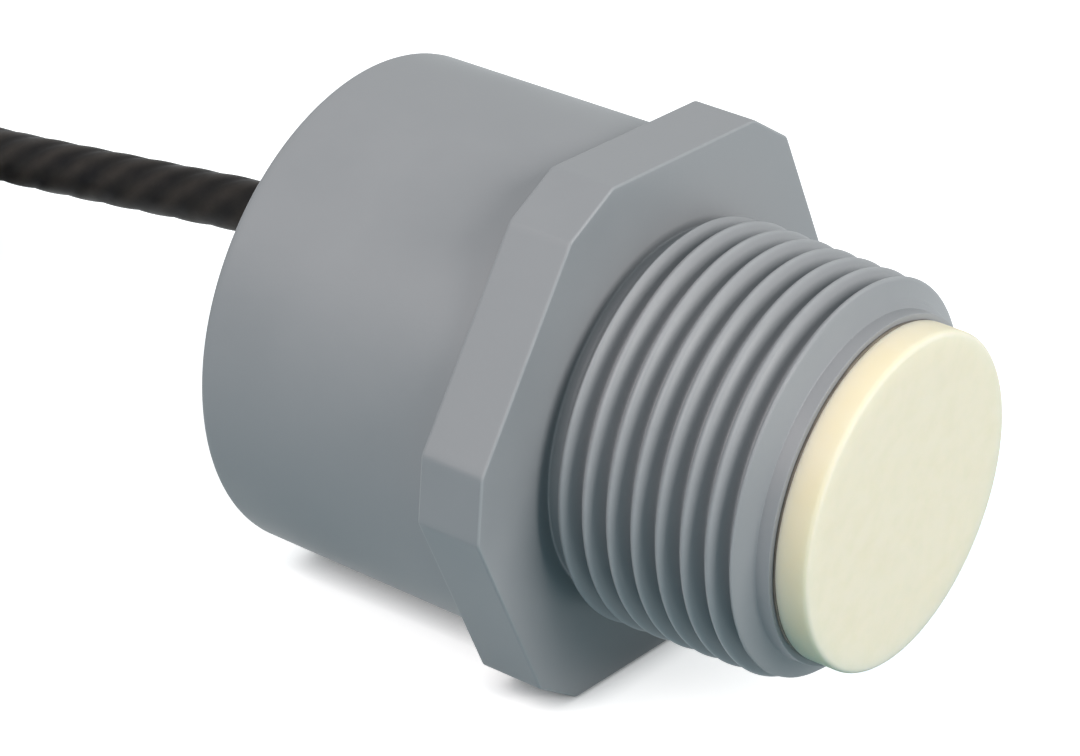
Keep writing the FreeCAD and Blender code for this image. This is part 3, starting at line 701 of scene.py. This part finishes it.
# %% [markdown]
# The glue line under the disc is a thin dark ring that was wiped off unevenly. Three waves
# of different lengths, added up, make its radius wander a little without repeating.

# %% Glue line
GLUE_OVERLAP, GLUE_SUNK, WIPED_BACK = 0.02, 0.03, 0.05

glue_outline = rounded_outline([
    (STEM, STEM_BACK, 0),
    (BORE - GLUE_OVERLAP, STEM_BACK, 0),
    (BORE - GLUE_OVERLAP, SPIGOT_END - GLUE_SUNK, 0),
    (DISC + GLUE_OVERLAP, SPIGOT_END - GLUE_SUNK, 0),
    (DISC + GLUE_OVERLAP, DISC_BACK + GLUE_OVERLAP, 0.05),
    (STEM, DISC_BACK + GLUE_OVERLAP, 0),
])
glue_rings = turned_rings(glue_outline, ROUND_COLUMNS)
angle = np.arange(ROUND_COLUMNS) / ROUND_COLUMNS * 2 * pi
wander = 0.05 * np.sin(3 * angle + 1) + 0.03 * np.sin(7 * angle) + 0.02 * np.sin(17 * angle + 2)
outer = (glue_outline[:, 0] > DISC - 0.3)[:, None]
glue_rings[..., :2] *= (1 + outer * (wander - WIPED_BACK) / DISC)[..., None]
glue = new_piece("glue_line", [joined(glue_rings, "looped")], SENSOR)
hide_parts("face_bond")
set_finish(glue, "adhesive")

# %% [markdown]
# The potting compound was poured in from the back while liquid. It crept up the wall and
# the rubber sleeve before it set, and its surface is faintly uneven. Such a meniscus falls
# off like an exponential with the distance from the wall, so that is how its height is
# worked out, on rings that stand closer and closer towards the wall. Two crossed waves make
# it uneven. The skin lies on the CAD solid, which stays beneath it.

# %% Potting skin
POTTING_AT = -28.85
CABLE_ASIDE = 5.0
SLEEVE_RADIUS = 4.1
UP_THE_WALL, WALL_FADE = 0.55, 0.45
UP_THE_SLEEVE, SLEEVE_FADE = 0.45, 0.5
SKIN_PROUD, SKIN_SUNK = 0.06, 0.25

around = np.arange(ROUND_COLUMNS) / ROUND_COLUMNS * 2 * pi
near_wall = 16.72 - np.geomspace(0.9, 0.02, 9)
reach = np.concatenate([[0.02], np.linspace(0.6, 15.6, 34), near_wall, [16.76]])[:, None]
x, y = reach * np.cos(around), reach * np.sin(around)
from_wall = SOCKET - reach
from_sleeve = np.maximum(np.hypot(x - CABLE_ASIDE, y) - SLEEVE_RADIUS, 0)
creep = np.maximum(
    UP_THE_WALL * np.exp(-from_wall / WALL_FADE),
    UP_THE_SLEEVE * np.exp(-from_sleeve / SLEEVE_FADE),
)
uneven = 0.03 * np.sin(0.5 * x + 1) * np.sin(0.42 * y) + 0.02 * np.sin(0.9 * x - 0.7 * y + 2)
skin_top = np.stack([x, y, POTTING_AT - SKIN_PROUD - creep + uneven], axis=-1)
skin_back = skin_top[::-1].copy()
skin_back[..., 2] = POTTING_AT + SKIN_SUNK
skin_rings = np.concatenate([skin_top, skin_back]) * MM
skin = new_piece("potting_skin", [joined(skin_rings, "capped")], SENSOR)
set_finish(skin, "potting_epoxy")

# %% [markdown]
# The rubber sleeve keeps the cable from kinking where it leaves the potting. It tapers, and
# three moulded grooves let it flex. It is turned about the cable's axis, which stands
# CABLE_ASIDE above the sensor's own, from one outline with four corners for each groove.

# %% Cable sleeve
SLEEVE_FRONT, SLEEVE_END = -24.65, -33.75
SLEEVE_HOLE, SLEEVE_TAIL = CABLE / 2 - 0.05, 3.0
GROOVES, GROOVE_STEP, GROOVE_TAPER = 3, 1.15, 0.24
FIRST_GROOVE_AT, FIRST_GROOVE_RADIUS = POTTING_AT - 1.1, SLEEVE_RADIUS - 0.25

sleeve_corners = [
    (SLEEVE_HOLE, SLEEVE_FRONT, 0),
    (SLEEVE_RADIUS, SLEEVE_FRONT, 0.1),
    (SLEEVE_RADIUS, POTTING_AT - 0.5, 0.2),
]
for k in range(GROOVES):
    at = FIRST_GROOVE_AT - GROOVE_STEP * k
    wide = FIRST_GROOVE_RADIUS - GROOVE_TAPER * k
    sleeve_corners += [
        (wide - 0.05, at + 0.25, 0.06),
        (wide - 0.45, at + 0.15, 0.08),
        (wide - 0.5, at - 0.35, 0.08),
        (wide - 0.12, at - 0.45, 0.06),
    ]
sleeve_corners += [(SLEEVE_TAIL, SLEEVE_END, 0.25), (SLEEVE_HOLE, SLEEVE_END, 0.1)]
sleeve_rings = turned_rings(rounded_outline(sleeve_corners, 4), 96, CABLE_ASIDE)
sleeve = new_piece("cable_sleeve", [joined(sleeve_rings, "looped")], SENSOR)
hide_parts("cable_grommet")
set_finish(sleeve, "grommet_rubber")

# %% [markdown]
# Real finishes are never one flat colour. Effects that several materials share are node
# groups: a fine grain, a soft mottle, and a paler colour on marked edges and ridges, which is
# partly wear and partly a painted highlight.
# Each group puts out a colour or a height, and the shader itself stays in the material. The
# noise is read in object coordinates, so it keeps its size and needs no unwrapping.


# %% Node group helpers
def new_group(name, inputs, outputs):
    """An empty shader node group with its sockets, and its input and output nodes."""
    group = bpy.data.node_groups.new(name, "ShaderNodeTree")
    for label, kind, value in inputs:
        socket = group.interface.new_socket(label, in_out="INPUT", socket_type=kind)
        socket.default_value = value
    for label, kind in outputs:
        group.interface.new_socket(label, in_out="OUTPUT", socket_type=kind)
    return group, group.nodes.new("NodeGroupInput"), group.nodes.new("NodeGroupOutput")


def math_node(tree, operation, a, b):
    """A Math node whose inputs are sockets or numbers; gives its output."""
    node = tree.nodes.new("ShaderNodeMath")
    node.operation = operation
    for k, value in enumerate((a, b)):
        if isinstance(value, (int, float)):
            node.inputs[k].default_value = value
        else:
            tree.links.new(value, node.inputs[k])
    return node.outputs[0]


def noise(tree, scale, detail=3.0, roughness=0.5):
    """A Noise Texture in object coordinates; gives its height between 0 and 1."""
    place = tree.nodes.new("ShaderNodeTexCoord")
    node = tree.nodes.new("ShaderNodeTexNoise")
    node.inputs["Detail"].default_value = detail
    node.inputs["Roughness"].default_value = roughness
    tree.links.new(place.outputs["Object"], node.inputs["Vector"])
    if isinstance(scale, (int, float)):
        node.inputs["Scale"].default_value = scale
    else:
        tree.links.new(scale, node.inputs["Scale"])
    return node.outputs["Fac"]


def mixed(tree, share, first, second):
    """A Mix node for colours; gives its colour output."""
    node = tree.nodes.new("ShaderNodeMix")
    node.data_type = "RGBA"
    for name, value in (("Factor", share), ("A", first), ("B", second)):
        sockets = [s for s in node.inputs if s.name == name and s.type in ("RGBA", "VALUE")]
        socket = [s for s in sockets if (s.type == "VALUE") == (name == "Factor")][0]
        if isinstance(value, bpy.types.NodeSocket):
            tree.links.new(value, socket)
        else:
            socket.default_value = value
    return [s for s in node.outputs if s.type == "RGBA"][0]


# %% [markdown]
# A moulded surface has the fine tooth of its mould, and lies on long low waves where the
# plastic shrank. Both are noise, at two sizes, added to one height for a Bump node.
# WAVE_SCALE says how much coarser the waves are than the tooth.

# %% Fine grain
WAVE_SCALE = 0.06


def build_fine_grain():
    """Height for a Bump node: the tooth of a moulded or cast surface, with low waves."""
    group, start, end = new_group(
        "fine_grain",
        [("Scale", "NodeSocketFloat", 900.0), ("Waves", "NodeSocketFloat", 0.4)],
        [("Height", "NodeSocketFloat")],
    )
    tooth = noise(group, start.outputs["Scale"], 2.0, 0.6)
    coarser = math_node(group, "MULTIPLY", start.outputs["Scale"], WAVE_SCALE)
    wave = noise(group, coarser, 2.0)
    waves = math_node(group, "MULTIPLY", wave, start.outputs["Waves"])
    group.links.new(math_node(group, "ADD", tooth, waves), end.inputs["Height"])
    return group


# %% [markdown]
# Pigment, resin and rubber are never mixed quite evenly. The mottle drifts between two close
# tones, and lets the gloss drift with them, because a duller patch is a paler one too. Noise
# keeps near its middle value, so the range from TONE_FROM to TONE_TO is spread out over both
# tones.

# %% Soft mottle
TONE_FROM, TONE_TO = 0.32, 0.68


def build_soft_mottle():
    """A colour that drifts between two tones, and a roughness that drifts with it."""
    group, start, end = new_group(
        "soft_mottle",
        [
            ("Colour", "NodeSocketColor", (0.5, 0.5, 0.5, 1)),
            ("Second colour", "NodeSocketColor", (0.5, 0.5, 0.5, 1)),
            ("Scale", "NodeSocketFloat", 60.0),
            ("Roughness", "NodeSocketFloat", 0.5),
            ("Roughness drift", "NodeSocketFloat", 0.1),
        ],
        [("Colour", "NodeSocketColor"), ("Roughness", "NodeSocketFloat")],
    )
    drift = noise(group, start.outputs["Scale"], 4.0, 0.55)
    spread = group.nodes.new("ShaderNodeMapRange")
    spread.inputs["From Min"].default_value = TONE_FROM
    spread.inputs["From Max"].default_value = TONE_TO
    group.links.new(drift, spread.inputs["Value"])
    share = spread.outputs["Result"]
    colour = mixed(group, share, start.outputs["Colour"], start.outputs["Second colour"])
    group.links.new(colour, end.inputs["Colour"])
    more = math_node(group, "MULTIPLY", share, start.outputs["Roughness drift"])
    roughness = math_node(group, "ADD", start.outputs["Roughness"], more)
    group.links.new(roughness, end.inputs["Roughness"])
    return group


# %% [markdown]
# A paler colour could be found from the shape by a Bevel node, which slows each render, or
# from Pointiness, which changes with how fine the mesh is. This mesh knows where its own
# edges are, so it stores how much each point is lightened: wear and painted highlight on the
# housing, painted highlight on the cable's ridges, and a paler front on the sounding face.
# The group reads that and breaks it up with noise, some of which is always left.

# %% Wear and painted highlight
# The paler marks are partly wear and partly painted highlight.
LIGHTENING_NOISE_SCALE, LEAST_LIGHTENING = 500.0, 0.2


def build_wear_and_highlight():
    """Lightens a colour where the mesh stores a share, broken up by noise: wear and painted
    highlight.
    """
    group, start, end = new_group(
        "wear_and_highlight",
        [
            ("Colour", "NodeSocketColor", (0.5, 0.5, 0.5, 1)),
            ("Worn colour", "NodeSocketColor", (0.6, 0.6, 0.6, 1)),
            ("Amount", "NodeSocketFloat", 0.5),
        ],
        [("Colour", "NodeSocketColor")],
    )
    stored = group.nodes.new("ShaderNodeAttribute")
    stored.attribute_name = "lightened"
    broken = math_node(group, "ADD", noise(group, LIGHTENING_NOISE_SCALE, 3.0, 0.6), LEAST_LIGHTENING)
    share = math_node(group, "MULTIPLY", stored.outputs["Fac"], broken)
    share = math_node(group, "MULTIPLY", share, start.outputs["Amount"])
    colour = mixed(group, share, start.outputs["Colour"], start.outputs["Worn colour"])
    group.links.new(colour, end.inputs["Colour"])
    return group


FINE_GRAIN, SOFT_MOTTLE, WEAR_AND_HIGHLIGHT = build_fine_grain(), build_soft_mottle(), build_wear_and_highlight()
print("groups:", [g.name for g in bpy.data.node_groups])

# %% [markdown]
# One function makes every opaque finish from the groups: two close tones, a roughness that
# drifts, a grain of the right size, and paler marks where a paler colour is given. What sets
# the finishes apart are the numbers. Mottle and grain are noise scales, counted in features
# to the metre, and depth is how far the grain stands up in millimetres.


# %% A finish from the groups
def placed_group(tree, group, **values):
    """Places a node group in a material and sets its inputs."""
    node = tree.nodes.new("ShaderNodeGroup")
    node.node_tree = group
    for name, value in values.items():
        node.inputs[name.replace("_", " ")].default_value = value
    return node


FINISHES = {}
LIGHTENING_AMOUNT = 0.8
BENEATH_SPREAD, BENEATH_DEPTH = (1.0, 1.0, 0.9), 2.0


def finish(name, colour, second, roughness, drift=0.1, mottle=120, grain=1500, bump=0.1,
           depth=0.02, waves=0.4, metallic=0.0, specular=0.5, paler=None, beneath=0.0):
    """Makes an opaque material with mottle and grain. A paler colour adds paler marks where the
    mesh stores them, and beneath is the share of the light that scatters beneath the surface."""
    material = bpy.data.materials.new(name)
    material.use_nodes = True
    tree = material.node_tree
    shader = tree.nodes["Principled BSDF"]
    tones = placed_group(
        tree, SOFT_MOTTLE, Colour=(*colour, 1), Second_colour=(*second, 1),
        Scale=mottle, Roughness=roughness, Roughness_drift=drift,
    )
    result = tones.outputs["Colour"]
    if paler:
        lightened = placed_group(tree, WEAR_AND_HIGHLIGHT, Worn_colour=(*paler, 1), Amount=LIGHTENING_AMOUNT)
        tree.links.new(result, lightened.inputs["Colour"])
        result = lightened.outputs["Colour"]
    tree.links.new(result, shader.inputs["Base Color"])
    tree.links.new(tones.outputs["Roughness"], shader.inputs["Roughness"])
    grainy = placed_group(tree, FINE_GRAIN, Scale=grain, Waves=waves)
    raised = tree.nodes.new("ShaderNodeBump")
    raised.inputs["Strength"].default_value = bump
    raised.inputs["Distance"].default_value = depth * MM
    tree.links.new(grainy.outputs["Height"], raised.inputs["Height"])
    tree.links.new(raised.outputs["Normal"], shader.inputs["Normal"])
    shader.inputs["Metallic"].default_value = metallic
    shader.inputs["Specular IOR Level"].default_value = specular
    if beneath:
        shader.inputs["Subsurface Weight"].default_value = beneath
        shader.inputs["Subsurface Radius"].default_value = BENEATH_SPREAD
        shader.inputs["Subsurface Scale"].default_value = BENEATH_DEPTH * MM
    FINISHES[name] = material


# %% [markdown]
# The housing is satin grey PVC, with the tooth of a spark-cut mould, and paler edges that are
# partly wear and partly a painted highlight.
# The sounding face is cast cream resin. Light goes a little way into it, and comes out again
# beside the spot, which softens its shading. The adhesive is brown and blotchy.

# %% Housing, sounding face and glue
# The paler colour on the housing's edges and thread ridges is partly wear and partly a painted
# highlight.
finish("housing_pvc", (0.270, 0.276, 0.287), (0.292, 0.296, 0.307), roughness=0.42,
       mottle=90, grain=2600, bump=0.25, paler=(0.38, 0.385, 0.395), specular=0.4)
finish("face_resin", (0.87, 0.75, 0.52), (0.89, 0.78, 0.59), roughness=0.6, drift=0.12,
       mottle=110, grain=2200, bump=0.2, paler=(0.985, 0.81, 0.63), specular=0.15, beneath=0.8)
finish("adhesive", (0.13, 0.11, 0.09), (0.21, 0.18, 0.14), roughness=0.45, drift=0.2,
       mottle=700, grain=2500)
print("finishes:", list(FINISHES))

# %% [markdown]
# The pieces potted inside are seen only when the sensor is cut open or taken apart. They get
# the finish of what they are: granular cork, fired ceramic, black ferrite, enamelled wire,
# bright cans and matt moulded chips. Only the potting itself shows, glossy and wavy.

# %% Potted pieces
finish("piezo_ceramic", (0.60, 0.56, 0.47), (0.66, 0.62, 0.53), roughness=0.35)
finish("cork", (0.32, 0.19, 0.09), (0.52, 0.36, 0.20), roughness=0.85, mottle=1400,
       grain=1200, bump=0.8, depth=0.15)
finish("loaded_epoxy", (0.12, 0.12, 0.13), (0.20, 0.20, 0.21), roughness=0.6, mottle=900)
finish("potting_epoxy", (0.018, 0.018, 0.020), (0.030, 0.030, 0.032), roughness=0.16,
       drift=0.14, mottle=160, grain=500, bump=0.3, depth=0.05, waves=1.5)
finish("board_laminate", (0.02, 0.16, 0.07), (0.03, 0.22, 0.10), roughness=0.3, mottle=800)
finish("ferrite", (0.045, 0.045, 0.05), (0.075, 0.075, 0.08), roughness=0.55, mottle=1500)
finish("winding_copper", (0.60, 0.24, 0.10), (0.72, 0.34, 0.16), roughness=0.3, mottle=900,
       metallic=0.9)
finish("capacitor_can", (0.66, 0.66, 0.68), (0.74, 0.74, 0.76), roughness=0.3, metallic=1.0)
finish("chip_plastic", (0.018, 0.018, 0.019), (0.03, 0.03, 0.032), roughness=0.5, mottle=900)
finish("crystal_can", (0.56, 0.56, 0.57), (0.66, 0.66, 0.67), roughness=0.25, metallic=1.0)
finish("chip_ceramic", (0.30, 0.23, 0.16), (0.40, 0.32, 0.23), roughness=0.5, mottle=1500)
finish("wire_insulation", (0.38, 0.04, 0.03), (0.46, 0.06, 0.05), roughness=0.4)

# %% [markdown]
# The jacket is soft black PVC, with a paler colour along its ridges that is a painted
# highlight, and the sleeve is duller rubber. The cores have the plain colours of such a cable.

# %% Cable
finish("grommet_rubber", (0.018, 0.018, 0.018), (0.028, 0.028, 0.028), roughness=0.55,
       drift=0.15, mottle=400, grain=1800, bump=0.3)
# The jacket's paler colour along its ridges is a painted highlight.
finish("cable_jacket", (0.002, 0.002, 0.003), (0.012, 0.0108, 0.0099), roughness=0.4,
       drift=0.2, mottle=420, grain=2200, bump=0.3, depth=0.03, paler=(0.042, 0.035, 0.03),
       specular=0.12)
finish("core_red_insulation", (0.48, 0.015, 0.015), (0.56, 0.025, 0.02), roughness=0.3)
finish("core_black_insulation", (0.015, 0.015, 0.015), (0.025, 0.025, 0.025), roughness=0.3)
finish("core_white_insulation", (0.76, 0.76, 0.74), (0.82, 0.82, 0.80), roughness=0.35)
finish("core_green_insulation", (0.015, 0.22, 0.06), (0.02, 0.28, 0.09), roughness=0.3)
finish("tinned_copper", (0.42, 0.42, 0.41), (0.56, 0.55, 0.53), roughness=0.3, drift=0.2,
       mottle=700, metallic=1.0)
print(len(FINISHES), "finishes in all")

# %% [markdown]
# The housing's mesh stores where it is paler: on the ridges of the thread and on the
# hexagon's edges, partly wear where spanners and fittings touch it and partly a painted
# highlight. The cable is paler along its ridges, which is a painted highlight. The front of
# the sounding face is paler than its cast side, and a value over 1 there leaves hardly a gap
# in the noise. The values follow the order of the points, ring by ring, and a capped mesh has
# its two middle points last.

# %% Where the pieces are paler: wear and painted highlight
FRONT_PALER, WORN_AND_HIGHLIT_EDGE = 1.6, 0.7
PALER_BELOW_CREST = 0.3
FIRST_RIDGE, BEYOND_HUB = 1.5, 21.3


def store_lightened(piece, values):
    """Stores how much each point of a mesh is lightened, from 0 for not at all."""
    attribute = piece.data.attributes.new("lightened", "FLOAT", "POINT")
    attribute.data.foreach_set("value", values.astype(np.float32))


# The paler thread ridges and hexagon edges are partly wear and partly a painted highlight.
below_crest = CREST_RADIUS - TAPER * heights - radii
on_thread = (heights > FIRST_RIDGE) & (heights < THREAD_END)
lightened = on_thread * np.clip(1 - below_crest / PALER_BELOW_CREST, 0, 1) ** 2
on_hexagon = (heights > -THICK - 0.01) & (heights < 0.01) & (radii > BEYOND_HUB)
near_edge = np.minimum(np.abs(heights), np.abs(heights + THICK)) < EDGE
lightened[on_hexagon & near_edge & (radii > HEX - EDGE)] = WORN_AND_HIGHLIT_EDGE
store_lightened(housing, lightened.ravel())
# The jacket's paler ridges are a painted highlight.
store_lightened(jacket, np.append(np.tile(ridge**4, len(cable_line)), [0, 0]))
# The front of the sounding face is given a paler colour than its side.
front = np.repeat(face_outline[:, 1] > DISC_FRONT - 0.1, ROUND_COLUMNS)
store_lightened(face, FRONT_PALER * np.append(front, [0, 1]))
print("rubbed share of the housing's points: %.2f" % (lightened > 0.3).mean())

# %% [markdown]
# The record says which slot each CAD node belongs to, and each new piece was given its slot
# when it was made. The finish of that name goes on.

# %% Give every piece its finish
for part in RECORD["subparts"]:
    node = frame["nodes"][part["node"]]
    node.data.materials.clear()
    node.data.materials.append(FINISHES[part["material_slot"]])
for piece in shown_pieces():
    if "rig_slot" in piece:
        piece.data.materials.clear()
        piece.data.materials.append(FINISHES[piece["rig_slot"]])

# %% [markdown]
# The table and the background are pure white in the picture, and may not light the object
# so much. The Light Path node tells the two uses apart: what the camera sees, itself or in
# gloss, and what light bounces on.


# %% What is seen directly
def seen_directly(tree):
    """One where the camera sees a surface, itself or in a mirror or through glass."""
    rays = tree.nodes.new("ShaderNodeLightPath").outputs
    mirrored = math_node(tree, "MAXIMUM", rays["Is Glossy Ray"], rays["Is Transmission Ray"])
    return math_node(tree, "MAXIMUM", rays["Is Camera Ray"], mirrored)


# %% [markdown]
# To the camera the table glows, so that it clips to white where it is lit and keeps the
# object's soft shadow. In a narrow gap, as between two turns of the cable, the glow fades as
# daylight would. To the light that bounces on it, the table is a muted blue green, which is
# what the real one gave to the underside of the housing.

# %% Table
TABLE_SIZE = 6.0
TABLE_SEEN = (0.9, 0.9, 0.9, 1)
TABLE_BOUNCES = (0.01, 0.16, 0.21, 1)
GLOW, GLOW_FADES_WITHIN = 0.62, 2.5

bpy.ops.mesh.primitive_grid_add(x_subdivisions=8, y_subdivisions=8, size=TABLE_SIZE)
table = bpy.context.object
table.name = "table"
paper = bpy.data.materials.new("white_table")
paper.use_nodes = True
tree = paper.node_tree
tree.nodes.clear()
output = tree.nodes.new("ShaderNodeOutputMaterial")
seen, bounced, glow, both, choose = (
    tree.nodes.new("ShaderNode" + kind)
    for kind in ("BsdfDiffuse", "BsdfDiffuse", "Emission", "AddShader", "MixShader")
)
seen.inputs["Color"].default_value = TABLE_SEEN
bounced.inputs["Color"].default_value = TABLE_BOUNCES
glow.inputs["Color"].default_value = (1, 1, 1, 1)
open_share = tree.nodes.new("ShaderNodeAmbientOcclusion")
open_share.samples = 8
open_share.inputs["Distance"].default_value = GLOW_FADES_WITHIN * MM
strength = math_node(tree, "MULTIPLY", open_share.outputs["AO"], GLOW)
tree.links.new(strength, glow.inputs["Strength"])
to_camera = seen_directly(tree)
tree.links.new(seen.outputs[0], both.inputs[0])
tree.links.new(glow.outputs[0], both.inputs[1])
tree.links.new(to_camera, choose.inputs["Fac"])
tree.links.new(bounced.outputs[0], choose.inputs[1])
tree.links.new(both.outputs[0], choose.inputs[2])
tree.links.new(choose.outputs[0], output.inputs["Surface"])
table.data.materials.append(paper)
print("table: %.0f m wide" % TABLE_SIZE)

# %% [markdown]
# The light is a soft studio: a pale world all round, a large soft box above and to the
# left, and a smaller one that stands high in front of the sounding face. Large boxes give
# the soft edges of shade that the picture has. To the camera and in gloss the world is pure
# white, as the background is.

# %% World and lamps
WORLD_LIGHT = (0.305, 0.39, 0.415, 1)

world = bpy.data.worlds.new("studio")
bpy.context.scene.world = world
world.use_nodes = True
tree = world.node_tree
background = tree.nodes["Background"]
colour = mixed(tree, seen_directly(tree), WORLD_LIGHT, (1, 1, 1, 1))
tree.links.new(colour, background.inputs["Color"])


def soft_box(name, place, target, width, power, colour):
    """A square area lamp at a place in mm, aimed at a target."""
    lamp = bpy.data.objects.new(name, bpy.data.lights.new(name, "AREA"))
    bpy.context.scene.collection.objects.link(lamp)
    lamp.data.size = width * MM
    lamp.data.energy = power
    lamp.data.color = colour
    lamp.location = Vector(place) * MM
    towards = (Vector(target) - Vector(place)) * MM
    lamp.rotation_euler = towards.to_track_quat("-Z", "Y").to_euler()


MIDDLE = (0, 0, 20)
soft_box("key", (-170, -530, 440), MIDDLE, 420, 2.92, (1.0, 0.895, 0.875))
soft_box("front", (620, 10, 385), MIDDLE, 340, 3.95, (1.0, 0.965, 0.945))
print("lamps:", [lamp.name for lamp in bpy.data.lights])

# %% [markdown]
# Last, the view settings are plain.

# %% Finish
bpy.context.scene.view_settings.view_transform = "Standard"
